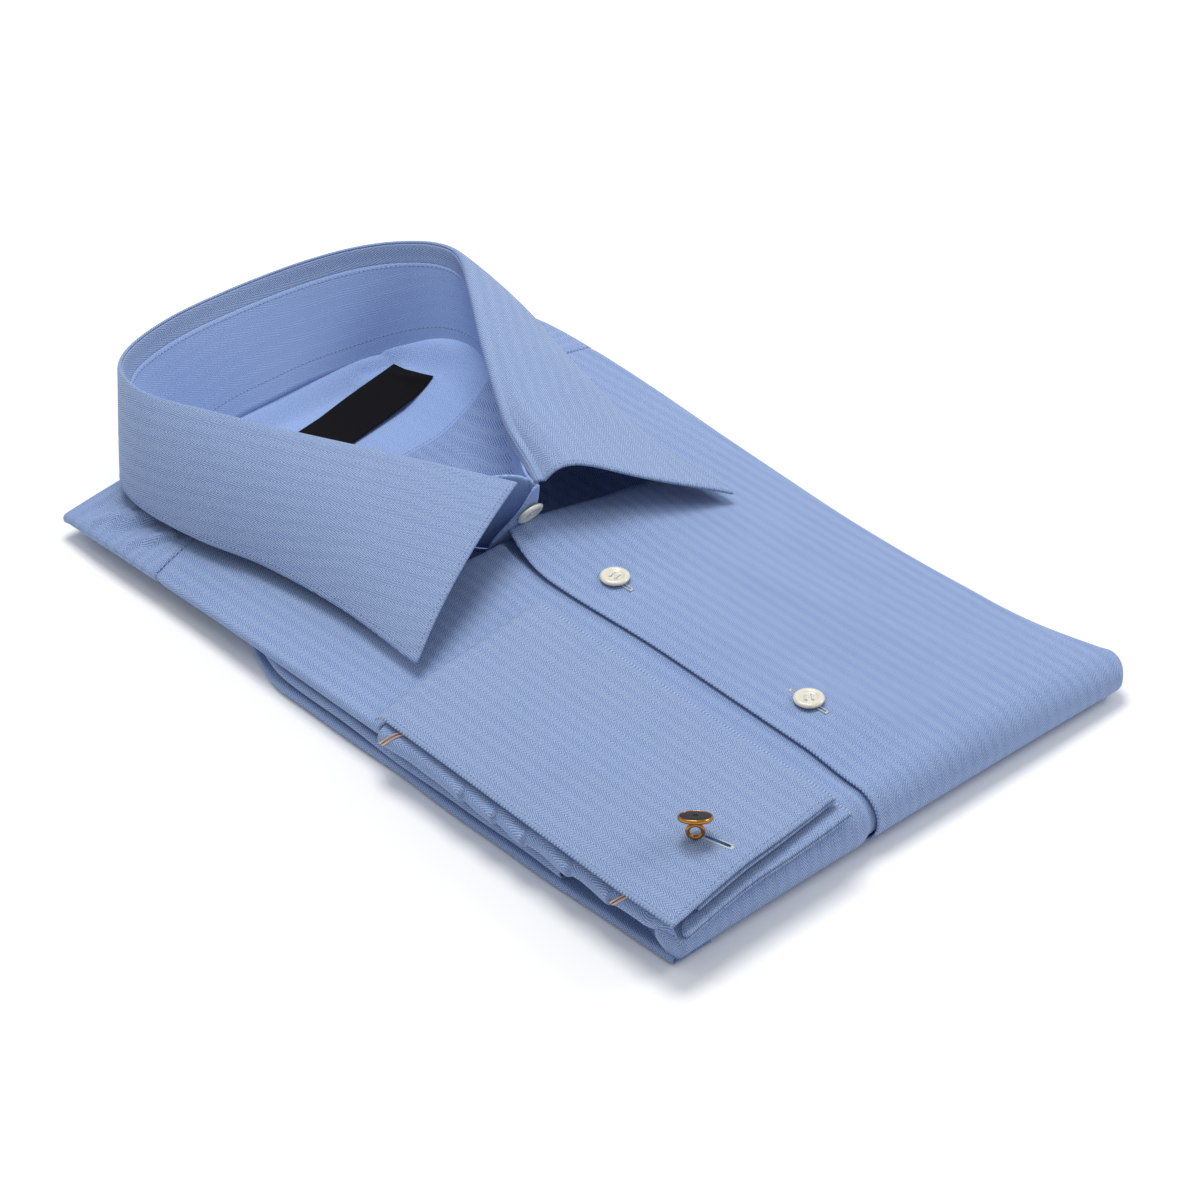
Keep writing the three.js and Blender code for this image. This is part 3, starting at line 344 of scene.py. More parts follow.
def body_point(x, y, depth=0.0, lift=0.0):
    """Point of the body's cloth: flat on top, then half an ellipse round the fold, then under it."""
    x, y, depth, lift = np.broadcast_arrays(x, y, np.asarray(depth, float), np.asarray(lift, float))
    flat_y = np.clip(y, BOTTOM_FLAT, SHOULDER_FLAT)
    left, right = read(STATIONS, flat_y)[:2]
    flat_x = np.clip(x, left + LEFT_FOLD[0], right - RIGHT_FOLD[0])
    over_x, over_y = x - flat_x, y - flat_y
    over = np.maximum(np.hypot(over_x, over_y), 1e-9)
    top = top_height(flat_x, flat_y) + lift
    end_share = np.abs(over_y) / np.maximum(np.abs(over_x) + np.abs(over_y), 1e-9)
    side_reach = np.where(over_x < 0, LEFT_FOLD[0], RIGHT_FOLD[0])
    side_thick = np.where(over_x < 0, LEFT_FOLD[1], RIGHT_FOLD[1])
    end_reach = np.where(over_y < 0, BOTTOM_FOLD[0], SHOULDER_FOLD[0])
    end_thick = np.where(over_y < 0, top, SHOULDER_FOLD[1])
    reach = mix(side_reach, end_reach, end_share)
    thick = mix(side_thick, end_thick, end_share)
    arc = math.pi * (reach + thick / 2) / 2
    angle = math.pi * np.minimum(over, arc) / arc
    out = (reach - depth) * np.sin(angle) - np.maximum(over - arc, 0)
    z = top - thick + depth + (thick - 2 * depth) * (1 + np.cos(angle)) / 2
    return points(flat_x + over_x / over * out, flat_y + over_y / over * out, z)


def fold_arc(fold):
    """Length half way round a fold. The one down to the ground is as thick as the fronts."""
    return math.pi * (fold[0] + (fold[1] or FRONT_HEIGHT) / 2) / 2


def yoke_seam_y(x):
    """Yoke's seam: straight along x, with a smooth drop at the right side."""
    left = read(STATIONS, float(YOKE_SEAM[0]))[0]
    return YOKE_SEAM[0] - YOKE_SEAM[1] * (1 - step(left - 2, left - 2 + YOKE_SEAM[2], x))


RIGHT_ARC = fold_arc(RIGHT_FOLD)
LEFT_ARC = fold_arc(LEFT_FOLD)
NECK_FRONT = [(half, y) for _, half, y in reversed(NECK[5:])]
YOKE_SEAM_HALF = float(read(NECK, YOKE_SEAM_SHARE)[0])


def front_top_y(x):
    """Upper edge of the fronts: the neck's line, and past it the yoke's seam."""
    half = np.abs(x - SHIRT_CENTRE)
    neck = np.minimum(read(NECK_FRONT, half)[0], yoke_seam_y(x))
    return np.where(half >= YOKE_SEAM_HALF, yoke_seam_y(x), neck)


def placket_lift(x, y):
    """Curl of the placket's edge: height * exp(-(distance / spread)^2)."""
    away = np.hypot(x - PLACKET_LIFT[0], y - PLACKET_LIFT[1]) / PLACKET_LIFT[2]
    return PLACKET_LIFT[3] * np.exp(-away * away)


def overlap_lift(x):
    """The left front's lift over the right one, falling smoothly to nothing."""
    return OVERLAP_LIFT * (1 - step(*OVERLAP_FADE, x))


def near_bottom_fold(y):
    """1 up to the bottom fold, then smoothly down to 0."""
    return 1 - step(BOTTOM_FLAT + FOLD_EASE[0], BOTTOM_FLAT + FOLD_EASE[1], y)


def creased(x, y, creases):
    """Creases, each height * exp(-(distance / width)^2) along its line."""
    total = np.zeros(np.broadcast(x, y).shape)
    for x0, y0, x1, y1, width, height in creases:
        dx, dy = x1 - x0, y1 - y0
        t = np.clip(((x - x0) * dx + (y - y0) * dy) / (dx * dx + dy * dy), 0, 1)
        away = np.hypot(x - x0 - t * dx, y - y0 - t * dy) / width
        total = total + height * np.exp(-away * away)
    return total


def relief(x, y):
    """The body's creases and slow swells, each height * sin(along_x * x + along_y * y + start)."""
    total = creased(x, y, CREASES)
    for along_x, along_y, height, start in SWELLS:
        total = total + height * np.sin(along_x * x + along_y * y + start)
    return total


# Meshes

def grid(nu, nv):
    """Shares from 0 to 1 both ways over nu by nv cells."""
    return np.meshgrid(np.linspace(0, 1, nu + 1), np.linspace(0, 1, nv + 1), indexing="ij")


def quads(ids):
    """The four corners of each cell in a grid of point numbers."""
    return np.stack([ids[:-1, :-1], ids[1:, :-1], ids[1:, 1:], ids[:-1, 1:]], -1).reshape(-1, 4)


def lengths(surface):
    """Millimetres along both ways of a grid: running sums of the distances between its points."""
    along_u = np.linalg.norm(np.diff(surface, axis=0), axis=-1)
    along_v = np.linalg.norm(np.diff(surface, axis=1), axis=-1)
    u = np.pad(np.cumsum(along_u, 0), ((1, 0), (0, 0))).mean(axis=1, keepdims=True)
    v = np.pad(np.cumsum(along_v, 1), ((0, 0), (1, 0)))
    return np.broadcast_to(u, surface.shape[:2]), v


def sheet_parts(outer, inner, uv, rim=0.38):
    """A closed sheet: an outer and an inner grid, joined by a rim that bulges by rim * thickness."""
    n, m = outer.shape[:2]
    ids = np.arange(n * m).reshape(n, m)
    edge = np.concatenate([ids[:-1, 0], ids[-1, :-1], ids[:0:-1, -1], ids[0, :0:-1]])
    back = np.concatenate([ids[:-1, 1], ids[-2, :-1], ids[:0:-1, -2], ids[1, :0:-1]])
    flat_outer, flat_inner, flat_uv = outer.reshape(-1, 3), inner.reshape(-1, 3), uv.reshape(-1, 2)
    thick = np.linalg.norm(flat_outer[edge] - flat_inner[edge], axis=-1, keepdims=True)
    away = unit(flat_outer[edge] - flat_outer[back])
    middle = (flat_outer[edge] + flat_inner[edge]) / 2 + away * thick * rim
    count, around = n * m, len(edge)
    k, k2 = np.arange(around), np.roll(np.arange(around), -1)
    rims = [np.stack([edge[k2], edge[k], 2 * count + k, 2 * count + k2], -1),
            np.stack([2 * count + k2, 2 * count + k, count + edge[k], count + edge[k2]], -1)]
    faces = np.concatenate([quads(ids), count + quads(ids)[:, ::-1]] + rims)
    verts = np.concatenate([flat_outer, flat_inner, middle])
    return verts, faces, np.concatenate([flat_uv, flat_uv, flat_uv[edge]])


def ring_parts(rings, start, end):
    """A closed skin through rings of points, with a fan to a tip at each end."""
    n, around = rings.shape[:2]
    ids = np.arange(n * around).reshape(n, around)
    k, k2 = np.arange(around), np.roll(np.arange(around), -1)
    first, last = 0 * k + n * around, 0 * k + n * around + 1
    fans = [np.stack([ids[0, k2], ids[0, k], first, first], -1),
            np.stack([ids[-1, k], ids[-1, k2], last, last], -1)]
    verts = np.concatenate([rings.reshape(-1, 3), [start, end]])
    return verts, np.concatenate([quads(np.concatenate([ids, ids[:, :1]], 1))] + fans), verts[:, :2]


def tube_parts(path, radius, around=10):
    """A closed round tube along a path: circles across its tangent."""
    path = np.asarray(path, float)
    tangent = unit(np.gradient(path, axis=0))
    radius = np.broadcast_to(radius, len(path))[:, None, None]
    side = unit(np.cross(tangent, (0.13, 0.21, 0.97)))
    other = np.cross(tangent, side)
    turn = np.linspace(0, 2 * math.pi, around, endpoint=False)[None, :, None]
    rings = path[:, None] + radius * (np.cos(turn) * side[:, None] + np.sin(turn) * other[:, None])
    return ring_parts(rings, path[0], path[-1])


def lathe_parts(profile, around=48):
    """A closed turned piece: (radius, height) pairs that start and end on the axis."""
    profile = np.asarray(profile, float)
    turn = np.linspace(0, 2 * math.pi, around, endpoint=False)
    r, z = profile[1:-1, 0][:, None], profile[1:-1, 1][:, None]
    rings = points(r * np.cos(turn), r * np.sin(turn), z + 0 * turn)
    return ring_parts(rings, (0, 0, profile[0, 1]), (0, 0, profile[-1, 1]))


def moved(parts, place, axes=None):
    """Parts turned so that their own axes are the rows of axes, then shifted."""
    verts, faces, uv = parts
    return (verts if axes is None else verts @ np.asarray(axes, float)) + np.asarray(place, float), faces, uv


def joined(several):
    """Several parts as one mesh, each one's faces counted on from the last."""
    starts = np.cumsum([0] + [len(verts) for verts, _, _ in several[:-1]])
    return (np.concatenate([verts for verts, _, _ in several]),
            np.concatenate([faces + start for (_, faces, _), start in zip(several, starts)]),
            np.concatenate([uv for _, _, uv in several]))


def torus_parts(radius, wire, around=48, section=12):
    """A round ring on its edge: a small circle at radius + wire * cos(w), carried round by t."""
    t = np.linspace(0, 2 * math.pi, around, endpoint=False)[:, None]
    w = np.linspace(0, 2 * math.pi, section, endpoint=False)
    reach = radius + wire * np.cos(w)
    ring = points(reach * np.cos(t), wire * np.sin(w) + 0 * t, reach * np.sin(t)).reshape(-1, 3)
    ids = np.pad(np.arange(around * section).reshape(around, section), ((0, 1), (0, 1)), mode="wrap")
    return ring, quads(ids), ring[:, :2]


def solid_volume(verts, faces):
    """Six times the volume: a . (b x c) summed over the faces' two triangles."""
    a, b, c, d = (verts[faces[:, k]] for k in range(4))
    return np.einsum("ij,ij->", a, np.cross(b, c)) + np.einsum("ij,ij->", a, np.cross(c, d))


def piece(name, parts, material, nodes=(), slot="cotton_herringbone", body="root"):
    """One object in metres, faces turned outwards, with its uv in millimetres of cloth."""
    verts, faces, uv = parts
    if solid_volume(verts, faces) < 0:
        faces = faces[:, ::-1]
    last_same = faces[:, 2] == faces[:, 3]
    first_same = faces[:, 0] == faces[:, 1]
    counts = np.where(last_same | first_same, 3, 4)
    keep = np.ones(faces.shape, bool)
    keep[last_same, 3] = False
    keep[first_same, 0] = False
    loops = faces[keep]
    mesh = bpy.data.meshes.new(name)
    mesh.vertices.add(len(verts))
    mesh.vertices.foreach_set("co", ((verts + SHIFT) * MM).ravel())
    mesh.loops.add(len(loops))
    mesh.loops.foreach_set("vertex_index", loops.astype(np.int32))
    mesh.polygons.add(len(counts))
    starts = np.concatenate([[0], np.cumsum(counts)[:-1]]).astype(np.int32)
    mesh.polygons.foreach_set("loop_start", starts)
    mesh.polygons.foreach_set("use_smooth", np.ones(len(counts), bool))
    mesh.uv_layers.new(name="cloth_mm").data.foreach_set("uv", uv[loops].ravel())
    mesh.update(calc_edges=True)
    mesh.validate()
    mesh.materials.append(material)
    made = bpy.data.objects.new(name, mesh)
    bpy.context.scene.collection.objects.link(made)
    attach(made, body)
    if nodes:
        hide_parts(*nodes)
    return made


def normals(surface):
    """Unit normals of a grid of points, from its differences both ways."""
    return unit(np.cross(np.gradient(surface, axis=0), np.gradient(surface, axis=1)))


def thicken(middle, thickness):
    """Both faces of a middle grid: half the thickness away along its normals."""
    offset = normals(middle) * thickness / 2
    return middle + offset, middle - offset


# Materials

def linear(colour):
    """An sRGB hex colour as the linear one that the shaders take."""
    parts = [int(colour[k:k + 2], 16) / 255 for k in (1, 3, 5)]
    return [c / 12.92 if c <= 0.04045 else ((c + 0.055) / 1.055) ** 2.4 for c in parts] + [1.0]


def add(tree, kind, inputs=(), **settings):
    """A shader node with its settings. Each input is a constant, or the output it is linked to."""
    made = tree.nodes.new(kind)
    for key, value in settings.items():
        setattr(made, key, value)
    for socket, value in inputs.items() if isinstance(inputs, dict) else enumerate(inputs):
        if isinstance(value, bpy.types.NodeSocket):
            tree.links.new(value, made.inputs[socket])
        else:
            made.inputs[socket].default_value = value
    return made.outputs


def empty_material(name):
    """A new material and its node tree with nothing in it."""
    material = bpy.data.materials.new(name)
    material.use_nodes = True
    material.node_tree.nodes.clear()
    return material, material.node_tree


# Weave, in millimetres: the threads' slant, sway and pitch, the width of a column, and how
# coarse and strong the yarn's unevenness, the patches and the slow clouds are. Real threads lie
# about 0.4 mm apart, too fine to show, so they are drawn at the pitch that still shows.
TWILL_SLANT = 2.0
THREAD_SWAY = 1.0
TWILL_PITCH = 1.5
COLUMN = 2.75
YARN_PER_MM = 1.7
PATCH_PER_MM = 0.06
CLOUD_PER_MM = 0.02
GRAIN = 2.1
CLOUD_DEPTH = 0.24
THREAD_HEIGHT = 0.35  # of the threads in the bump, beside the yarn's unevenness
BUMP = (0.5, 0.12)  # strength and height
DULL_FROM, DULL_SHINE = 0.85, 0.15  # rougher things than this shine less


def cotton(name, light, dark, column_shade_depth, twill_depth):
    """Herringbone twill: fine slanting threads that turn back at each column, and painted shade that makes
    alternate columns take the light in turn. Thread phase = 2 pi (along + SLANT * fold(across)) / pitch, in
    mm."""
    material, tree = empty_material(name)
    cloth = add(tree, "ShaderNodeUVMap", uv_map="cloth_mm")[0]
    across, along, _ = add(tree, "ShaderNodeSeparateXYZ", [cloth])
    fine, patchy, slow = (
        add(tree, "ShaderNodeTexNoise",
            {"Vector": cloth, "Scale": scale, "Detail": detail, "Roughness": rough})["Fac"]
        for scale, detail, rough in ((YARN_PER_MM, 3, 0.6), (PATCH_PER_MM, 2, 0.5), (CLOUD_PER_MM, 2, 0.5)))
    fold = add(tree, "ShaderNodeMath", [across, COLUMN], operation="PINGPONG")[0]
    phase = add(tree, "ShaderNodeMath", [fold, TWILL_SLANT, along], operation="MULTIPLY_ADD")[0]
    phase = add(tree, "ShaderNodeMath", [fine, THREAD_SWAY, phase], operation="MULTIPLY_ADD")[0]
    phase = add(tree, "ShaderNodeMath", [phase, 2 * math.pi / TWILL_PITCH], operation="MULTIPLY")[0]
    thread = add(tree, "ShaderNodeMath", [phase], operation="SINE")[0]
    # painted shade: a sine across the columns darkens every other one, as the twill's two slants take the
    # light differently
    turn = add(tree, "ShaderNodeMath", [across, math.pi / COLUMN], operation="MULTIPLY")[0]
    column_shade = add(tree, "ShaderNodeMath", [turn], operation="SINE")[0]
    depth = add(tree, "ShaderNodeMath", [patchy, 2 * column_shade_depth], operation="MULTIPLY")[0]
    column_shade = add(tree, "ShaderNodeMath", [column_shade, depth], operation="MULTIPLY")[0]
    tone = add(tree, "ShaderNodeMath", [thread, twill_depth, 0.5], operation="MULTIPLY_ADD")[0]
    tone = add(tree, "ShaderNodeMath", [column_shade, tone], operation="ADD")[0]
    for source, depth in ((fine, GRAIN), (slow, CLOUD_DEPTH)):
        shift = add(tree, "ShaderNodeMath", [source, depth, -depth / 2], operation="MULTIPLY_ADD")[0]
        tone = add(tree, "ShaderNodeMath", [tone, shift], operation="ADD")[0]
    # a colour mix's own sockets come after its plain and vector ones, which have the same names
    colour = add(tree, "ShaderNodeMix", {0: tone, 6: linear(dark), 7: linear(light)},
                 data_type="RGBA", clamp_factor=True)[2]
    height = add(tree, "ShaderNodeMath", [thread, THREAD_HEIGHT, fine], operation="MULTIPLY_ADD")[0]
    bump = add(tree, "ShaderNodeBump", {"Strength": BUMP[0], "Distance": BUMP[1] * MM, "Height": height})[0]
    shader = add(tree, "ShaderNodeBsdfPrincipled", {
        "Base Color": colour, "Normal": bump, "Roughness": 0.85, "Specular IOR Level": 0.2,
        "Sheen Weight": 0.12, "Sheen Roughness": 0.5})[0]
    add(tree, "ShaderNodeOutputMaterial", {"Surface": shader})
    return material


def plain(name, colour, roughness, metallic=0.0, coat=0.0, cloud=0.0, scale=1.0):
    """One colour with its roughness, and a slow change of tone where the real thing has it."""
    material, tree = empty_material(name)
    place = add(tree, "ShaderNodeTexCoord")["Object"]
    patchy = add(tree, "ShaderNodeTexNoise", {"Vector": place, "Scale": scale / MM, "Detail": 3})["Fac"]
    bright = add(tree, "ShaderNodeMath", [patchy, 2 * cloud, 1 - cloud], operation="MULTIPLY_ADD")[0]
    tint = add(tree, "ShaderNodeHueSaturation", {"Color": linear(colour), "Value": bright})[0]
    shader = add(tree, "ShaderNodeBsdfPrincipled", {
        "Base Color": tint, "Roughness": roughness, "Metallic": metallic, "Coat Weight": coat,
        "Coat Roughness": 0.1, "Specular IOR Level": DULL_SHINE if roughness > DULL_FROM else 0.5})[0]
    add(tree, "ShaderNodeOutputMaterial", {"Surface": shader})
    return material


# Shirting: pale blue cotton herringbone, with painted shade that makes the columns that lean away a little
# greyer
SHIRTING = cotton("cotton_herringbone", "#a2b3d4", "#5f7bae", 0.1, 0.66)
# The same cotton on the collar's and cuff's stiff plies
STIFF = cotton("stiffened_herringbone", "#a2b2d1", "#607bab", 0.07, 0.62)
# The inside of neck and collar, where the cloth shows its smoother back
INSIDE = cotton("cotton_inside", "#a6bbe2", "#7895ca", 0.02, 0.3)
# Sewing thread, a shade paler than the cloth, and painted shade for the dark of its needle holes and of the
# buttonhole's slit
THREAD = plain("sewing_thread", "#a3b5d8", 0.7)
HOLE_SHADE = plain("painted_hole_shade", "#43608f", 0.9)
# Buttonhole and button thread, off white
PALE_THREAD = plain("pale_thread", "#cdd6dc", 0.7)
# Mother of pearl, warm and a little cloudy
SHELL = plain("mother_of_pearl", "#ddd8c8", 0.3, coat=0.5, cloud=0.14, scale=0.25)
# Link: polished reddish gold, and near-black enamel with a soft shine
GOLD = plain("red_gold", "#c98a45", 0.2, metallic=1.0)
ENAMEL = plain("dark_enamel", "#0e0b0c", 0.5)
# Clips of thin wire with a pinkish coat
WIRE = plain("clip_wire", "#c9ab9c", 0.35, metallic=0.5)
# Bare label, closely woven from black yarn, which drinks the light
LABEL_SATIN = plain("label_satin", "#0d0c0f", 0.9, cloud=0.3, scale=1.5)


# Cloth pieces

def cloth(name, outer, inner, material, nodes, flat, rests_on, uv=None, held="folded"):
    """A sheet between two grids, made as one closed piece. Its width, length and, if it is cut in a curve,
    area in metres (flat) are not used.
    """
    if uv is None:
        along, across = lengths(outer)
        uv = np.stack([across, along], -1)
    made = piece(name, sheet_parts(outer, inner, uv), material, nodes)
    flat[2] if len(flat) > 2 else None
    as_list(rests_on)


def draped(name, surface, cells, thickness, material, nodes, flat, rests_on, held="folded"):
    """A sheet from a surface(u, v, depth), which gives places and the way of the threads."""
    u, v = grid(*cells)
    outer, uv = surface(u, v, 0.0)
    cloth(name, outer, surface(u, v, thickness)[0], material, nodes, flat, rests_on, uv, held)


def front_y(v, top_y):
    """Place along a front: a little under the body, round the bottom fold, then up to the seam."""
    fold_end = BOTTOM_FLAT - fold_arc(BOTTOM_FOLD)
    under, turned = FRONT_SHARES
    low_part = mix(fold_end - UNDER_FLANGE, fold_end, v / under)
    fold_part = mix(fold_end, BOTTOM_FLAT, (v - under) / (turned - under))
    flat_part = mix(BOTTOM_FLAT, top_y, (v - turned) / (1 - turned))
    return np.where(v < under, low_part, np.where(v < turned, fold_part, flat_part))


def under_yoke(x, y):
    """How far a front sinks where the yoke's edge lies over it."""
    depth, start, end = YOKE_SINK
    return depth * step(start, end, y - yoke_seam_y(x))


def seam_top_y(x):
    """The fronts' upper edge: along the neck, and tucked under the yoke at their seam."""
    return front_top_y(x) + np.where(np.abs(x - SHIRT_CENTRE) >= YOKE_SEAM_HALF, YOKE_TUCK, -SEAM_GAP)


def front_plan(x_at, u, v):
    """Places of a front in plan, from its x at any y."""
    y = front_y(v, seam_top_y(x_at(front_top_y(x_at(0 * u + YOKE_SEAM[0])))))
    return x_at(y), y


def neck_swell(x, y):
    """A rounded swell in front of the collar, which falls into the dark behind it."""
    at, slope, height, dip, front, back = NECK_SWELL
    share, grow_from, grow_to = SWELL_PLACKET
    start, end, end_y = SWELL_ENDS
    t = y - (at - slope * x)
    rise = height * mix(share, 1, step(grow_from, grow_to, x))
    shape = np.where(t < 0, rise * np.exp(-(t / front) ** 2), rise - (rise + dip) * step(0, back, t))
    return shape * step(*start, x) * (1 - step(*end, x)) * (1 - step(*end_y, y))


def left_front(u, v, depth):
    """The wearer's left front, which lies over the right one by the placket."""
    turned = FRONT_TURNS[0]

    def x_at(y):
        edge = read(PLACKET, y)[0]
        far = read(STATIONS, y)[1] - RIGHT_FOLD[0]
        return np.where(u < turned, mix(edge, far, u / turned),
                        far + (u - turned) / (1 - turned) * (RIGHT_ARC + SIDE_FLANGE))

    x, y = front_plan(x_at, u, v)
    lift = overlap_lift(x) * (1 - near_bottom_fold(y)) + placket_lift(x, y) + relief(x, y)
    return body_point(x, y, depth + under_yoke(x, y), lift + neck_swell(x, y)), np.stack([x, y], -1)


def right_front(u, v, depth):
    """The wearer's right front, which stays flat and low under the left one."""
    turned = FRONT_TURNS[1]

    def x_at(y):
        edge = read(PLACKET, y)[0] + UNDERLAP
        far = read(STATIONS, y)[0] + LEFT_FOLD[0]
        return np.where(u > turned, mix(far, edge, (u - turned) / (1 - turned)),
                        far - (1 - u / turned) * (LEFT_ARC + SIDE_FLANGE))

    x, y = front_plan(x_at, u, v)
    edge = read(PLACKET, y)[0]
    sinks, sunk, flattens, flat = UNDER_EDGE
    sink = OVERLAP_LIFT * near_bottom_fold(y) * step(edge + sinks, edge + sunk, x) + under_yoke(x, y)
    under = step(edge + flattens, edge + flat, x)
    swell = neck_swell(x, y)
    lift = relief(x, y) * (1 - under) + np.where(under > 0, np.minimum(swell, 0), swell)
    return body_point(x, y, sink + depth, lift), np.stack([x, y], -1)


def yoke_point(u, v, depth):
    """The yoke: from the neck's edge out over both shoulders and round the shoulder fold."""
    s = 2 * u - 1
    side, share = np.sign(s), np.abs(s)

    def end_x(y):
        left, right = read(STATIONS, float(y))[:2]
        return np.where(side < 0, left + LEFT_FOLD[0] - LEFT_ARC - SIDE_FLANGE,
                        right - RIGHT_FOLD[0] + RIGHT_ARC + SIDE_FLANGE)

    corner_x, seam_x = end_x(SHOULDER_FLAT), end_x(YOKE_SEAM[0])
    top_y = SHOULDER_FLAT + fold_arc(SHOULDER_FOLD) + SHOULDER_FLANGE
    down = np.clip((share - YOKE_CORNER) / (1 - YOKE_CORNER), 0, 1)
    shoulder_x = mix(SHIRT_CENTRE, corner_x, share / YOKE_CORNER)
    out_x = np.where(share < YOKE_CORNER, shoulder_x, mix(corner_x, seam_x, down))
    out_y = mix(top_y, yoke_seam_y(seam_x) + SEAM_GAP, down)
    half, neck_y = read(NECK, share * YOKE_SEAM_SHARE)
    x = mix(SHIRT_CENTRE + side * half, out_x, v)
    y = np.maximum(mix(neck_y, out_y, v), yoke_seam_y(x))
    return body_point(x, y, depth, relief(x, y)), np.stack([y, x], -1)


def bowl_height(x, y):
    """Inside of the neck: the body's top less depth * (1 - side^3), curling up at its edges."""
    half, deep = read(BOWL_ROWS, y)
    low, high, start, end = BOWL_EDGE
    sink, over = BOWL_FRONT_SINK
    side = np.minimum(np.abs(x - SHIRT_CENTRE) / half, 1)
    edge = np.maximum(step(0.8, 1, side), step(BOWL_Y[2] - BOWL_END, BOWL_Y[2], y))
    seat = mix(low, high, step(start, end, y)) * edge
    seat = seat + read(NECK_RISE, y)[1] * step(0.5, 1, side) * step(0, 20, x - SHIRT_CENTRE)
    seat = seat - sink * (1 - step(BOWL_Y[0], BOWL_Y[0] + over, y))
    hollow = SOLID_CLOTH + 2 * SEAM_GAP + deep * (1 - side ** 3)
    return top_height(x, y) - hollow + creased(x, y, INSIDE_CREASES) + seat


def bowl_point(from_y, to_y, u, v, depth):
    """Rows across the neck's hollow from one y to another."""
    y = mix(from_y, to_y, v)
    x = SHIRT_CENTRE + (2 * u - 1) * read(BOWL_ROWS, y)[0] + read(NECK_RISE, y)[0] * step(0.2, 1, 2 * u - 1)
    return points(x, y, bowl_height(x, y) - depth), np.stack([x, y], -1)


def neck_point(s):
    """Line on the body's top where the stand is sewn, -1 to 1 from right to left."""
    half, y = read(NECK, np.abs(s))
    x = SHIRT_CENTRE + np.sign(s) * half
    rise = overlap_lift(x) * step(-45, -18, x) + placket_lift(x, y)
    reach, lift = read(NECK_RISE, y)
    x, rise = x + reach * (s > 0), rise + lift * (s > 0)
    return points(x, y, top_height(x, y) + rise + STAND_SEAT)


def ridge_point(s):
    """The collar's top line, -1 to 1 from right to left, with its small shifts."""
    half, y, z = read(RIDGE, np.abs(s))
    front = step(RIDGE_STEP[2], 1, s)
    shift_x, shift_y = read(RIDGE_SHIFTS, s)
    x = SHIRT_CENTRE + np.sign(s) * half + RIDGE_STEP[0] * front
    return points(x + shift_x, y + RIDGE_STEP[1] * front + shift_y, z)


def stand_point(u, v):
    """Middle of the stand: from the neck's edge up to the seam under the ridge; its ends pass."""
    s = (2 * u - 1) * (1 + STAND_OVERLAP)
    side = np.sign(s)
    share = np.minimum(np.abs(s), 1)
    front = step(FRONT_FROM, 1, share)
    over_neck, over_ridge, right = STAND_END_SHARES
    beyond = (np.abs(s) - share) * STAND_END[0] * np.where(s > 0, mix(over_neck, over_ridge, v), right)
    neck, ridge = neck_point(side * share), ridge_point(side * share)
    ahead, meets = STAND_AHEAD[0], step(STAND_AHEAD[1], 1, share)
    ridge[..., 0] = mix(ridge[..., 0], SHIRT_CENTRE + ahead, meets)
    neck[..., 0] += ahead * meets
    neck[..., 2] -= STAND_SINK[0] * front
    down = unit(neck - ridge)
    drop = STAND_TOP_DROP * (1 - FRONT_CLOSE * front) + beyond * STAND_END[1]
    place = mix(neck, ridge + down * drop[..., None], v[..., None])
    place[..., 2] -= STAND_SINK[1] * front * (1 - v) ** 6
    place[..., 0] -= side * beyond
    place[..., 1] += beyond * STAND_END[2] - STAND_BELLY * front * np.sin(math.pi * v)
    place[..., 1] -= np.where(s > 0, STAND_STEP * step(RIDGE_STEP[2], 1, s), 0)
    return place


def curve(start, pull, end, w):
    """Quadratic Bezier curve."""
    return start * (1 - w) ** 2 + pull * 2 * w * (1 - w) + end * w * w


def leaf_point(u, v):
    """Middle of the leaf: up from the stand's seam, over the ridge, and out to its edge."""
    s = 2 * u - 1
    side, share = np.sign(s), np.abs(s)
    half, y, z, flare = read(LEAF_EDGE, share)
    ridge, neck = ridge_point(s), neck_point(s)
    edge = points(SHIRT_CENTRE + side * (half + np.where(side > 0, flare, 0)), y, z)
    front = step(LEAF_LIFT[2], 1, share)
    bulge = np.where(side > 0, mix(LEAF_BULGE[1], LEAF_BULGE[2], front), LEAF_BULGE[0])[..., None]
    run = edge - ridge
    outward = unit(run * (1, 1, 0))
    spread = step(0.2, 0.6, share)[..., None]
    pull = ridge + run * LEAF_FORM[0] + outward * (LEAF_FORM[1] + bulge * LEAF_FORM[2] * spread)
    pull = pull + UP * (LEAF_FORM[1] + bulge * spread)
    down, out_down = unit(neck - ridge), unit(pull - ridge)
    roll_from, roll_to = ROLL_SHARES
    v = v[..., None]
    start = ridge + out_down * ROLL
    close = 1 - FRONT_CLOSE * step(FRONT_FROM, 1, share)[..., None]
    inside = ridge + down * mix(STAND_TOP_DROP, ROLL, v / roll_from) * close
    over = np.clip((v - roll_from) / (roll_to - roll_from), 0, 1)
    rolled = curve(ridge + down * ROLL * close, ridge, start, over)
    w = np.clip((v - roll_to) / (1 - roll_to), 0, 1)
    out = curve(start, pull, edge, w)
    hump = w / LEAF_LIFT[1] * np.exp(1 - w / LEAF_LIFT[1]) * (1 - w)
    raised = np.where(side > 0, LEAF_LIFT[0] * front, 0)[..., None]
    out = out + hump * raised * UP
    return np.where(v < roll_from, inside, np.where(v < roll_to, rolled, out))


def cuff_base(x, y):
    """What the cuff lies on: the body's top, a little higher by the sleeve."""
    over = np.maximum(y, BOTTOM_FLAT + 4)
    raised, start, end = SLEEVE_OVER
    return top_height(x, over) + SEAM_GAP + raised * (1 - step(start, end, x))


def cuff_top(x, y):
    """Height of the upper cuff's face at one place."""
    return float(cuff_base(np.array(x), np.array(y))) + 2 * CUFF_PAIR + SEAM_GAP


